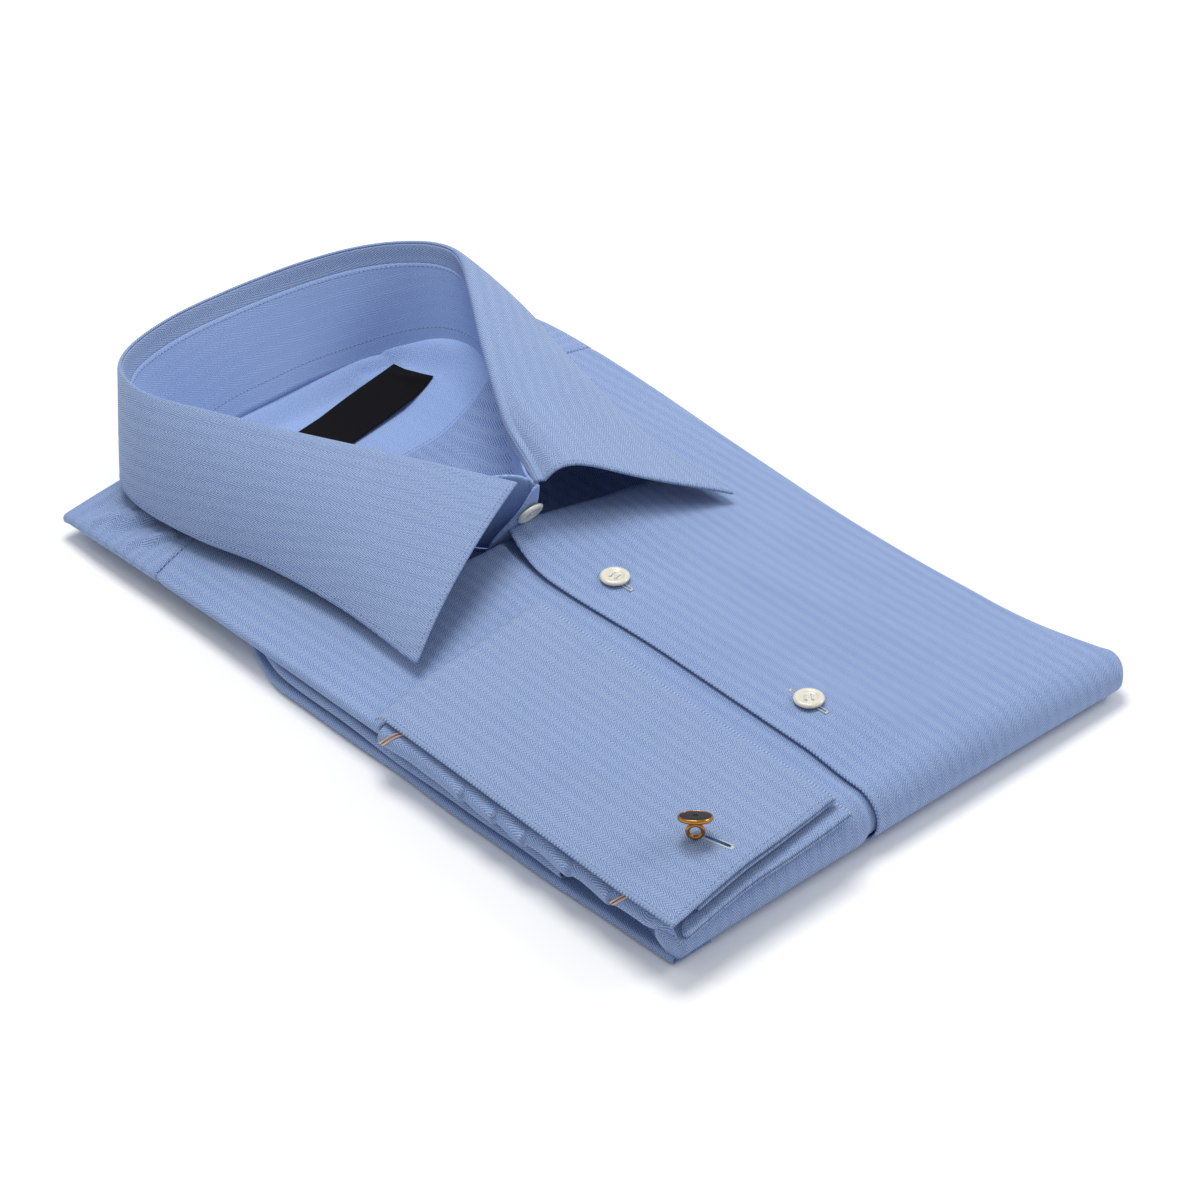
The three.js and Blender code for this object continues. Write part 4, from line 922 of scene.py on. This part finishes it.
def cuff_point(level, lower, u, row, depth):
    """Half of the turned-back cuff: an outer layer, the fold at its far edge, an inner layer."""
    bend = 0.5 * CUFF_PAIR
    fold_from, fold_to = CUFF_FOLD
    hook_share, hook_drop, lower_from, crowding = CUFF_HOOK
    v = mix(lower_from, 1, row) if lower else row ** crowding
    turn = np.clip((u - fold_from) / (fold_to - fold_from), 0, 1)
    angle = math.pi * turn
    back = np.clip((u - fold_to) / (1 - fold_to), 0, 1)
    inset, comes_out, out_from = CUFF_INSET
    inset = inset * (1 - comes_out * step(out_from, 1, v) * lower)
    a = np.where(u < fold_from, u / fold_from, 1 - back * (1 - inset))
    if lower:
        a = a * (1 - inset) + inset
    near_top, far_top, far_end, near_end = np.array(CUFF_CORNERS, float)
    across = a[..., None]
    plan = mix(mix(near_top, far_top, across), mix(near_end, far_end, across), v[..., None])
    x = plan[..., 0] + (bend - depth) * np.sin(angle)
    y = plan[..., 1]
    rise = (bend - depth) * np.cos(angle) * (-1 if lower else 1)
    at_end = step(CUFF_END, 1, v)
    if lower:
        x = x + CUFF_LOOP[0] * step(0.6, 1, a) * at_end
        y = y - mix(CUFF_LOOP[2], CUFF_LOOP[1], step(0.3, 1, a)) * at_end
        splay = CUFF_SPLAY[1] * at_end
        hook = 0
    else:
        splay = CUFF_SPLAY[0] * at_end * np.sin(math.pi * np.minimum(a + 0.15, 1))
        splay = splay * np.where(turn > 0.5, 0.35, 1)
        hook = hook_drop * np.maximum(1 - v / hook_share, 0) ** 2
    soft = 0.35 * np.sin(0.05 * x + 0.031 * y + (1 if lower else 3))
    z = cuff_base(x, y) + level + bend + rise - hook + splay + soft * (1 - at_end)
    return points(x, y, z), np.stack([a * CUFF_WIDTH, y], -1)


def pleat_lift(y):
    """Pleats: each rises by PLEAT_DEPTH over PLEAT_LENGTH and ends in a step."""
    total = np.zeros(np.shape(y))
    for at in PLEATS:
        ahead = (y - at) / PLEAT_LENGTH
        total = np.maximum(total, np.where((ahead >= 0) & (ahead < 1), PLEAT_DEPTH * (1 - ahead), 0))
    return total


def sleeve_point(share, y):
    """The sleeve's section carried along y, slanting a little outwards."""
    x, z = read(SLEEVE_SECTION, share)
    return points(x - 0.8 * (y - SLEEVE_Y[0]) / (SLEEVE_Y[1] - SLEEVE_Y[0]), y, z)


HIDDEN = ["hidden_layers_soft"]  # what most sheets lie on


def make_fronts():
    draped("left_front", left_front, (150, 210), CLOTH, SHIRTING, ["front_left"], (0.15, 0.36), HIDDEN)
    draped("right_front", right_front, (130, 210), CLOTH, SHIRTING, ["front_right"], (0.13, 0.36), HIDDEN)


def make_yoke():
    draped("shoulder_yoke", yoke_point, (220, 52), CLOTH, SHIRTING, ["yoke"], (0.26, 0.09, 0.0105), HIDDEN)
    draped("inner_yoke", partial(bowl_point, BOWL_Y[1] + SEAM_GAP, BOWL_Y[2]), (110, 60), CLOTH, INSIDE,
           ["yoke_inner"], (0.137, 0.06), HIDDEN, "laid")
    draped("back_inside", partial(bowl_point, BOWL_Y[0], BOWL_Y[1]), (100, 70), CLOTH, SHIRTING,
           ["back"], (0.12, 0.075, 0.0065), HIDDEN, "laid")


def make_collar():
    u, v = grid(320, 24)
    cloth("neck_stand", *thicken(stand_point(u, v), STIFF_CLOTH), INSIDE, ["collar_stand"],
          (0.44, 0.034), ["left_front", "right_front", "shoulder_yoke"], held="laid")
    u, v = grid(350, 100)
    rows, width = ROLL_ROWS
    v = np.where(v < rows, v / rows * width, mix(width, 1, (v - rows) / (1 - rows)))
    at, spread, depth = RIDGE_GROOVE
    groove = 1 - depth * np.exp(-((v - at) / spread) ** 2)
    cloth("leaf", *thicken(leaf_point(u, v), STIFF_CLOTH * groove[..., None]), STIFF, ["collar_leaf"],
          (0.46, 0.085), ["neck_stand"])


def make_cuff():
    for name, level, lower, node in [("cuff_under", 0.0, True, "cuff_lower"),
                                     ("cuff_over", CUFF_PAIR + SEAM_GAP, False, "cuff_upper")]:
        draped(name, partial(cuff_point, level, lower), (110, 150), STIFF_CLOTH, STIFF, [node],
               (0.152, 0.16), ["right_front"])


def make_sleeve():
    u, v = grid(260, 36)
    start = SLEEVE_Y[1] - 8
    end_x, end_x_share, end_z, end_z_share = SLEEVE_END
    y = mix(start, SLEEVE_Y[0], u)
    middle = sleeve_point(v, y)
    end = step(SLEEVE_Y[1] + 4, start, y)
    middle[..., 0] = mix(middle[..., 0], end_x, end_x_share * end)
    middle[..., 2] = mix(middle[..., 2], end_z, end_z_share * end)
    shows = step(0.12, 0.35, v) * (1 - step(0.62, 0.8, v)) * (1 - end)
    gathers = 0.35 * np.sin(y / 6.1) * np.sin(y / 9.7 + 1) * step(0.1, 0.5, v)
    middle[..., 0] -= pleat_lift(y) * shows + gathers
    middle[..., 2] -= 0.5 * np.sin(y / 7.3) ** 2 * (1 - step(0.3, 0.6, v))
    cloth("sleeve_turn", *thicken(middle, CLOTH), SHIRTING, ["sleeve"], (0.142, 0.032), HIDDEN)


def inside_floor(x, y):
    """Height that the core stays under, lower where the neck's hollow is."""
    half, deep = read(BOWL_ROWS, y)
    around, end, deeper, square = CORE_HOLLOW
    within = (y > BOWL_ROWS[0][0] - around) & (y < BOWL_ROWS[-1][0] + end)
    side = np.minimum(np.abs(x - SHIRT_CENTRE) / (half + around), 1)
    hollow = SOLID_CLOTH + 3 * SEAM_GAP + deeper * deep * (1 - side ** square)
    return top_height(x, y) - np.where(within & (side < 1), hollow, 0)


def core_parts():
    """Rings round the body's layers, then a top that follows the panels from below."""
    side_steps, end_steps, ring_steps, cap_steps = 90, 60, 48, 12
    low_y, high_y = BOTTOM_FLAT + 1, SHOULDER_FLAT - 1
    along = mix(low_y, high_y, (np.arange(side_steps) + 0.5) / side_steps)
    across = (np.arange(end_steps) + 0.5) / end_steps

    def edges(y):
        left, right = read(STATIONS, y)[:2]
        return left + LEFT_FOLD[0] + 1.5, right - RIGHT_FOLD[0] - 1

    left, right = edges(along)
    top_left, top_right = edges(np.array(float(high_y)))
    low_left, low_right = edges(np.array(float(low_y)))
    front_x = mix(low_left, low_right, across)
    x = np.concatenate([right, mix(top_right, top_left, across), left[::-1], front_x])
    y = np.concatenate([along, 0 * across + high_y, along[::-1], 0 * across + low_y])
    dx = np.concatenate([0 * along + 1, 0 * across, 0 * along - 1, 0 * across])
    dy = np.concatenate([0 * along, 0 * across + 1, 0 * along, 0 * across - 1])
    start, end, narrower = CORE_NARROW
    low_x = SHIRT_CENTRE + (x - SHIRT_CENTRE) * (1 - narrower * step(start, end, y))
    stop_y = np.minimum(y, CORE_STOP_Y)
    z, out = (np.broadcast_to(c[:, None], (ring_steps, len(x))) for c in
              read(LAYER_RINGS, np.linspace(0, 1, ring_steps)))
    low_z, high_z = LAYER_RINGS[0][1], LAYER_RINGS[-1][1]
    fold_z = mix(CORE_FOLD_LOW, high_z, (z - low_z) / (high_z - low_z))
    z = np.where(dy < 0, fold_z, z)
    half = top_height(x, low_y) / 2
    inner = half - SOLID_CLOTH - OVERLAP_LIFT - CORE_CLEAR
    reach = BOTTOM_FOLD[0] - SOLID_CLOTH - OVERLAP_LIFT - CORE_CLEAR
    fold_out = reach * np.sqrt(1 - np.minimum(np.abs(z - half) / inner, 1) ** 2)
    wavy = 0.5 * np.sin(y / 19 + z) + 0.4 * np.sin(x / 23 + 1.3 * z)
    out = np.where(dy < 0, fold_out, out + wavy - BAND_ROOM * (dx < 0))
    rings = points(low_x + dx * out, stop_y + dy * out, z)
    share = (np.arange(cap_steps) / cap_steps)[:, None]
    inset = np.where(dy < 0, 0, CORE_INSET)
    cap_x = mix(x - dx * inset, SHIRT_CENTRE, share)
    cap_y = mix(np.minimum(y - dy * inset, high_y - CORE_INSET), CORE_MIDDLE_Y, share)
    cap_z = np.minimum(top_height(cap_x, cap_y), inside_floor(cap_x, cap_y))
    cap_z = cap_z - SOLID_CLOTH - CORE_CLEAR - OVERLAP_LIFT * near_bottom_fold(cap_y)
    cap_z = cap_z + np.minimum(neck_swell(cap_x, cap_y), 0)
    rows = np.concatenate([rings, points(cap_x, cap_y, cap_z)])
    return ring_parts(rows, (SHIRT_CENTRE, CORE_MIDDLE_Y, low_z),
                      (SHIRT_CENTRE, CORE_MIDDLE_Y, cap_z[-1].mean()))


def side_cut(y):
    """How far the layers draw in, rising smoothly towards the shoulder."""
    return SIDE_CUT[0] * step(SIDE_CUT[1], SIDE_CUT[2], y)


def band_faces(y0, y1, height, half, reach, start):
    """A folded edge of cloth: a run in over the fold, half a circle round it, and a run back."""
    u, w = grid(160, 36)
    y = mix(y0, y1, u)
    turn = np.clip((w - BAND_RUN) / BAND_TURN, 0, 1)
    top_run = np.clip(1 - w / BAND_RUN, 0, 1)
    low_run = np.clip((w - BAND_RUN - BAND_TURN) / BAND_RUN, 0, 1)
    wave = 0.8 * np.sin(y / 21 + start) + 0.35 * np.sin(y / 8.3 + 2 * start)
    edge = read(STATIONS, y)[0] + 1.5 - reach + side_cut(y) + 0.5 * wave
    opens = BAND_OPEN[1] * (1 - step(y0, y0 + BAND_OPEN[2], y)) * (start == BAND_OPEN[0])
    squeeze = 1 - BAND_PINCH[0] * step(BAND_PINCH[1], BAND_PINCH[2], y) + opens
    z_mid = height + 0.3 * wave * (height > 4)
    faces = []
    for inset in (0.0, CLOTH):
        r = half * squeeze - inset
        x = edge + half - r * np.sin(math.pi * turn) + BAND_DEPTH * (top_run + low_run)
        z = z_mid + r * np.cos(math.pi * turn) + 0.3 * np.sin(y / 13 + start) * top_run
        faces.append(points(x, y, np.maximum(z, 0.2 + inset * (turn > 0.9))))
    return faces


def make_layers():
    core = piece("hidden_layers_soft", core_parts(), SHIRTING, ["hidden_layers"])
    for number, band in enumerate(BANDS):
        length = (band[1] - band[0]) * MM
        cloth(f"side_layer_{number + 1}", *band_faces(*band), SHIRTING, ["hidden_layers"],
              (2 * (BAND_DEPTH + 2 * band[3]) * MM, length), ["tail_layer"])
    u, v = grid(110, 120)
    side = 2 * u - 1
    y = mix(BOTTOM_FLAT + UNDER_FLANGE + 8, TAIL_TOP[0] - TAIL_TOP[1] * np.abs(side) ** 3, v)
    left, right = read(STATIONS, y)[:2]
    x = mix(left + 3 + side_cut(y), right - 3, u)
    cloth("tail_layer", points(x, y, SOLID_CLOTH), points(x, y, 0.0), SHIRTING, ["tail"],
          (0.225, 0.245), ["ground"], np.stack([x, y], -1))


# Seams, buttons and fastenings

def on_surface(surface, u, v, height, towards):
    """Points just over a surface, on the side that faces a direction or a place."""
    e = 1e-4
    u, v = np.broadcast_arrays(np.asarray(u, float), np.asarray(v, float))
    cu, cv = np.clip(u, e, 1 - e), np.clip(v, e, 1 - e)
    place = surface(u, v)
    along_u = surface(cu + e, cv) - surface(cu - e, cv)
    along_v = surface(cu, cv + e) - surface(cu, cv - e)
    normal = unit(np.cross(along_u, along_v))
    aim = np.asarray(towards, float)
    aim = aim if towards is UP else aim - place
    normal = normal * np.where((normal * aim).sum(-1, keepdims=True) < 0, -1, 1)
    return place + normal * height, normal


def spaced(path, normal, pitch, start=0.0):
    """Places at equal steps along a path, with the path's direction and the surface's normal."""
    run = np.concatenate([[0], np.cumsum(np.linalg.norm(np.diff(path, axis=0), axis=-1))])
    at = np.arange(pitch * (0.5 + start), run[-1], pitch)

    def between(places, values):
        return np.stack([np.interp(places, run, values[:, k]) for k in range(3)], -1)

    forward = unit(between(at + 0.2, path) - between(at - 0.2, path))
    out = unit(between(at, normal))
    return between(at, path), forward, unit(out - forward * (out * forward).sum(-1, keepdims=True))


def scattered(template, place, forward, out):
    """A template's copies at each place: its z axis along forward, its y axis along out."""
    verts, faces, uv = template
    side = np.cross(out, forward)
    axes = np.stack([side, out, forward], 1)
    all_verts = place[:, None] + np.einsum("vk,nkc->nvc", verts, axes)
    starts = np.arange(len(place))[:, None, None] * len(verts)
    return all_verts.reshape(-1, 3), (faces[None] + starts).reshape(-1, 4), np.tile(uv, (len(place), 1))


def capsule(length, radius, around=5, flat=1.0):
    """A short straight thread along z with pointed ends."""
    tip = length / 2
    profile = [(0, -tip), (radius, radius - tip), (radius, tip - radius), (0, tip)]
    verts, faces, uv = lathe_parts(profile, around)
    return verts * (1, flat, 1), faces, uv


def body_line(x, y, height=0.0):
    """A line on the body's outer face, with its normal."""
    def face(a, b):
        return body_point(a, b, -height, relief(a, b) + overlap_lift(a) * (a > -16.5))
    place = face(x, y)
    normal = unit(np.cross(face(x + 0.5, y) - face(x - 0.5, y), face(x, y + 0.5) - face(x, y - 0.5)))
    return place, normal * np.where(normal[..., 2:] < 0, -1, 1)


def cuff_face(a, row):
    """The upper cuff's outer face."""
    return cuff_point(CUFF_PAIR + SEAM_GAP, False, np.asarray(a) * CUFF_FOLD[0], np.asarray(row), 0.0)[0]


def make_stitching():
    lines = []
    face, over = STIFF_CLOTH / 2, 0.02
    edge_v, edge_a, end_row = 0.972, 0.022, 0.9925
    run, down = np.linspace(0.004, 0.996, 1200), np.linspace(0.16, edge_v, 300)
    lines.append(on_surface(leaf_point, run, edge_v, face, UP))
    for u in (0.0022, 0.9978):
        lines.append(on_surface(leaf_point, u, down, face, UP))
    centre = (SHIRT_CENTRE, 120, 45)
    for v in (0.955, 0.2):
        lines.append(on_surface(stand_point, np.linspace(0.05, 0.95, 900), v, face, centre))
    lines.append(on_surface(cuff_face, np.linspace(edge_a, 0.985, 260), end_row, over, UP))
    lines.append(on_surface(cuff_face, edge_a, np.linspace(0.12, 0.992, 500), over, UP))
    for low_x, high_x in ((-109, -66), (56, 116)):
        x = np.linspace(low_x, high_x, 200)
        lines.append(body_line(x, yoke_seam_y(x) + 2.0))
    x = np.linspace(-58, 50, 300)
    y = 0 * x + BOWL_Y[1] + 2
    bowl = points(x, y, bowl_height(x, y))
    lines.append((bowl, np.broadcast_to(UP, bowl.shape)))
    length, radius, pitch = STITCH
    thread, holes = [], []
    for path, normal in lines:
        thread.append(scattered(capsule(length, radius, flat=0.6), *spaced(path, normal, pitch)))
        # dark marks between the stitches: painted shade in the needle holes
        holes.append(scattered(capsule(*NEEDLE, flat=0.45), *spaced(path, normal, pitch, 0.5)))
    piece("stitching", joined(thread), THREAD)
    # the needle holes' dark marks, in painted shade
    piece("needle_hole_shading", joined(holes), HOLE_SHADE)


def button_parts(around=72):
    """A turned button with a raised rim, a dished middle and four holes sunk into both faces."""
    r_edge, half = BUTTON_RADIUS, BUTTON_THICK / 2
    bottom = [(r, -half) for r in np.linspace(0, BUTTON_EDGE * r_edge, 12)]
    rim = [(r_edge * mix(BUTTON_EDGE, 1, math.sin(t)), -half * math.cos(t))
           for t in np.linspace(0.15, math.pi - 0.15, 14)]
    top = [(r, half) for r in np.linspace(BUTTON_EDGE * r_edge, 0, 26)]
    verts, faces, uv = lathe_parts(bottom + rim + top, around)
    r = np.hypot(verts[:, 0], verts[:, 1])
    depth, inner, outer = BUTTON_DISH
    height, at, width = BUTTON_RIM
    dish = depth * (1 - step(inner, outer, r)) - height * np.exp(-((r - at) / width) ** 2)
    verts[:, 2] -= np.where(verts[:, 2] > 0, dish, 0)
    off, radius = BUTTON_HOLES
    for hole_x in (-off, off):
        for hole_y in (-off, off):
            away = np.hypot(verts[:, 0] - hole_x, verts[:, 1] - hole_y)
            verts[:, 2] -= np.sign(verts[:, 2]) * radius * np.exp(-(away / radius) ** 6) * (r < 4)
    return verts, faces, uv


def turn_z(degrees):
    """Axes, as rows, turned about z."""
    c, s = math.cos(math.radians(degrees)), math.sin(math.radians(degrees))
    return np.array([[c, s, 0], [-s, c, 0], [0, 0, 1]])


def thread_parts():
    """Two strands over a button's middle, each an arch from hole to hole."""
    t = np.linspace(-1, 1, 15)
    off = BUTTON_HOLES[0]
    z = 0.35 + 0.35 * (1 - t * t) ** 0.5
    return joined([tube_parts(points(off * t, y, z), 0.28, 8) for y in (-off, off)])


def bar_parts(length, width, pitch):
    """A buttonhole's edge: short threads across it, closer than they are wide, with a bar at each end."""
    at = np.arange(-length / 2, length / 2, pitch)
    place = points(0 * at, at, 0 * at)
    n = len(at)
    across, out = np.tile([1.0, 0, 0], (n, 1)), np.tile([0, 0, 1.0], (n, 1))
    short = capsule(width * 0.42, 0.19, flat=0.9)
    rows = [scattered(short, place + [side * width * 0.3, 0, 0], across, out) for side in (-1, 1)]
    ends = points(0, np.array([-0.5, -0.5, 0.5, 0.5]) * length + [-0.3, 0.2, -0.2, 0.3], 0)
    rows.append(scattered(capsule(width, 0.24, flat=1.0), ends, across[:4], out[:4]))
    return joined(rows)


def make_buttons():
    spots = []
    for number, (x, y) in enumerate(FRONT_BUTTONS):
        face = body_line(np.array([float(x)]), np.array([float(y)]))[0][0]
        base = face + [0, 0, BUTTON_SHANK + BUTTON_THICK / 2]
        spots.append((f"front_button_{number + 1}", base, turn_z(12 + 40 * number)))
        hole = moved(bar_parts(*BUTTONHOLE), face + [0, 0, 0.12])
        piece(f"buttonhole_{number + 1}", hole, PALE_THREAD)
    up = unit((ridge_point(np.array(1.0)) - neck_point(np.array(1.0))) * (0, 1, 1))
    out = np.array([0, -up[2], up[1]])
    centre = np.sum(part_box("collar_button"), axis=0) / 2 / MM - SHIFT
    spots.append(("collar_button", centre + COLLAR_BUTTON_OUT * out, np.array([[1, 0, 0], up, out])))
    for name, place, axes in spots:
        piece(name + "_shell", moved(button_parts(), place, axes), SHELL, [name], "button_shell")
        piece(name + "_thread", moved(thread_parts(), place, axes), PALE_THREAD, slot="button_shell")


def make_link():
    x, y, radius, thick, tilt = LINK
    ring_radius, wire = LINK_RING
    place = np.array([x, y, cuff_top(x, y) + 2 * SEAM_GAP + ring_radius + wire])
    turned = turn_z(-CAMERA_TURN)
    ring = moved(torus_parts(ring_radius, wire), place, turned)
    piece("link_ring", ring, GOLD, ["cufflink_ring"], "link_gold")
    lean, half = math.radians(tilt), thick / 2
    c, s = math.cos(lean), math.sin(lean)
    axes = np.array([[1, 0, 0], [0, c, -s], [0, s, c]]) @ turned
    at = np.array([0, 0.9, ring_radius + wire + half + SEAM_GAP + 0.25]) @ turned + place
    # the rim's profile, and the enamel's: shares of the radius and of half the thickness
    rim = [(0, -1), (0.75, -1), (0.93, -0.75), (1, -0.2), (1, 0.45), (0.97, 0.85), (0.93, 1), (0.89, 0.9),
           (0.88, 0.5), (0, 0.5)]
    pool = [(0, 0.3), (0.87, 0.3), (0.875, 0.75)]
    pool += [(0.87 * math.cos(k), 0.8 + 0.35 * math.sin(k)) for k in np.linspace(0.1, math.pi / 2, 10)]
    pool[-1] = (0, pool[-1][1])
    for name, profile, material, slot in [("link_rim", rim, GOLD, "link_gold"),
                                          ("link_enamel", pool, ENAMEL, "link_enamel")]:
        face = lathe_parts(np.array(profile) * (radius, half), 72)
        piece(name, moved(face, at, axes), material, ["cufflink_face"], slot)


def make_slot():
    x0, y0, x1, y1 = CUFF_SLOT

    def top(x, y):
        return cuff_top(x, y) + CUFF_SPLAY[0] * float(step(CUFF_END, 1, (y - CUFF_RUN[0]) / CUFF_RUN[1]))

    start, end = np.array([x0, y0, top(x0, y0)]), np.array([x1, y1, top(x1, y1)])
    along = unit(end - start)
    across = unit(np.cross(along, UP))
    out = np.cross(across, along)
    middle = (start + end) / 2 + [0, 0, 0.15]
    length = float(np.linalg.norm(end - start))
    edge = moved(bar_parts(length, 3.4, BUTTONHOLE[2]), middle, np.array([across, along, out]))
    piece("cuff_buttonhole", edge, PALE_THREAD)
    # a flat dark capsule along the slit: painted shade in the buttonhole's opening
    slit = capsule(length * 0.9, 0.85, 10, 0.25)
    piece("cuff_slit_shade", moved(slit, middle + [0, 0, 0.02], np.array([across, out, along])), HOLE_SHADE)


def make_clips():
    for number, y in enumerate(CLIPS):
        share = np.linspace(*CLIP_SHARES, 24)
        at_y = y - CLIP_SLANT * (share - CLIP_SHARES[0])
        place = sleeve_point(share, at_y)
        lift = CLOTH / 2 + CLIP_WIRE + 0.6 * pleat_lift(at_y)
        over = step(0.5, 0.8, share)
        place[:, 0] -= lift * (1 - over)
        place[:, 2] += lift * over
        wires = [tube_parts(place + [0, side * 0.75, 0], CLIP_WIRE * 0.9, 10) for side in (-1, 1)]
        piece(f"clip_wire_{number + 1}", joined(wires), WIRE, [f"clip_{number + 1}"], "clip_wire")


def make_label():
    """The label lies on the slope of the bowl's middle, and over the cloth where that is higher."""
    x0, y0, width, height, turn = LABEL
    over_slope, over_cloth, thick = LABEL_CLEAR
    u, v = grid(90, 24)
    across, up = (u - 0.5) * width, (v - 0.5) * height
    c, s = math.cos(math.radians(turn)), math.sin(math.radians(turn))
    x, y = x0 + across * c - up * s, y0 + across * s + up * c
    reach_x, reach_y = LABEL_REACH
    lean_x = (bowl_height(x0 + reach_x, y0) - bowl_height(x0 - reach_x, y0)) / (2 * reach_x)
    lean_y = (bowl_height(x0, y0 + reach_y) - bowl_height(x0, y0 - reach_y)) / (2 * reach_y)
    z = bowl_height(x0, y0) + over_slope + lean_x * (x - x0) + lean_y * (y - y0)
    z = np.maximum(z + 0.25 * np.sin(across / 9) * np.sin(up / 7), bowl_height(x, y) + over_cloth)
    parts = sheet_parts(points(x, y, z + thick), points(x, y, z), np.stack([across, up], -1))
    made = piece("woven_label", parts, LABEL_SATIN, ["label"], "label_black")


# Camera, floor and light

def put(name, data, axes=np.eye(3), place=(0, 0, 0)):
    """An object with its three axes as columns, at a place in metres."""
    made = bpy.data.objects.new(name, data)
    made.matrix_world = Matrix([[*axes[k], place[k]] for k in range(3)] + [[0, 0, 0, 1]])
    bpy.context.scene.collection.objects.link(made)
    return made


def set_camera():
    turn, raised = math.radians(CAMERA_TURN), math.radians(CAMERA_RAISE)
    ahead = math.cos(raised)
    forward = np.array([math.sin(turn) * ahead, math.cos(turn) * ahead, -math.sin(raised)])
    right = np.array([math.cos(turn), -math.sin(turn), 0])
    up = np.cross(right, forward)
    data = bpy.data.cameras.new("camera")
    data.lens, data.sensor_width = LENS, SENSOR
    data.clip_start, data.clip_end = 0.05, 20
    place = (CAMERA_DROP * up - CAMERA_AWAY * forward + SHIFT) * MM
    bpy.context.scene.camera = put("camera", data, np.stack([right, up, -forward], 1), place)


def add_light(name, place, size, energy, colour):
    """A round area light that faces AIM."""
    data = bpy.data.lights.new(name, "AREA")
    data.shape, data.size, data.energy, data.color = "DISK", size, energy, colour
    away = unit(np.array(place, float) - AIM)
    side = unit(np.cross((0, 1, 0), away))
    put(name, data, np.stack([side, np.cross(away, side), away], 1), place)


def set_stage():
    mesh = bpy.data.meshes.new("floor")
    half = FLOOR_HALF
    corners = [(-half, -half, 0), (half, -half, 0), (half, half, 0), (-half, half, 0)]
    mesh.from_pydata(corners, [], [(0, 1, 2, 3)])
    mesh.materials.append(plain("pale_floor", "#fbfbfb", 0.9))
    put("floor", mesh)
    world = bpy.data.worlds.new("studio")
    world.use_nodes = True
    background = world.node_tree.nodes["Background"]
    background.inputs["Color"].default_value = WORLD_COLOUR
    background.inputs["Strength"].default_value = WORLD_STRENGTH
    bpy.context.scene.world = world
    for name, light in LIGHTS.items():
        add_light(name, *light)
    bpy.context.scene.view_settings.view_transform = "Standard"
    bpy.context.scene.view_settings.look = "None"


make_layers()
make_fronts()
make_yoke()
make_collar()
make_sleeve()
make_cuff()
make_label()
make_buttons()
make_link()
make_slot()
make_clips()
make_stitching()
set_camera()
set_stage()
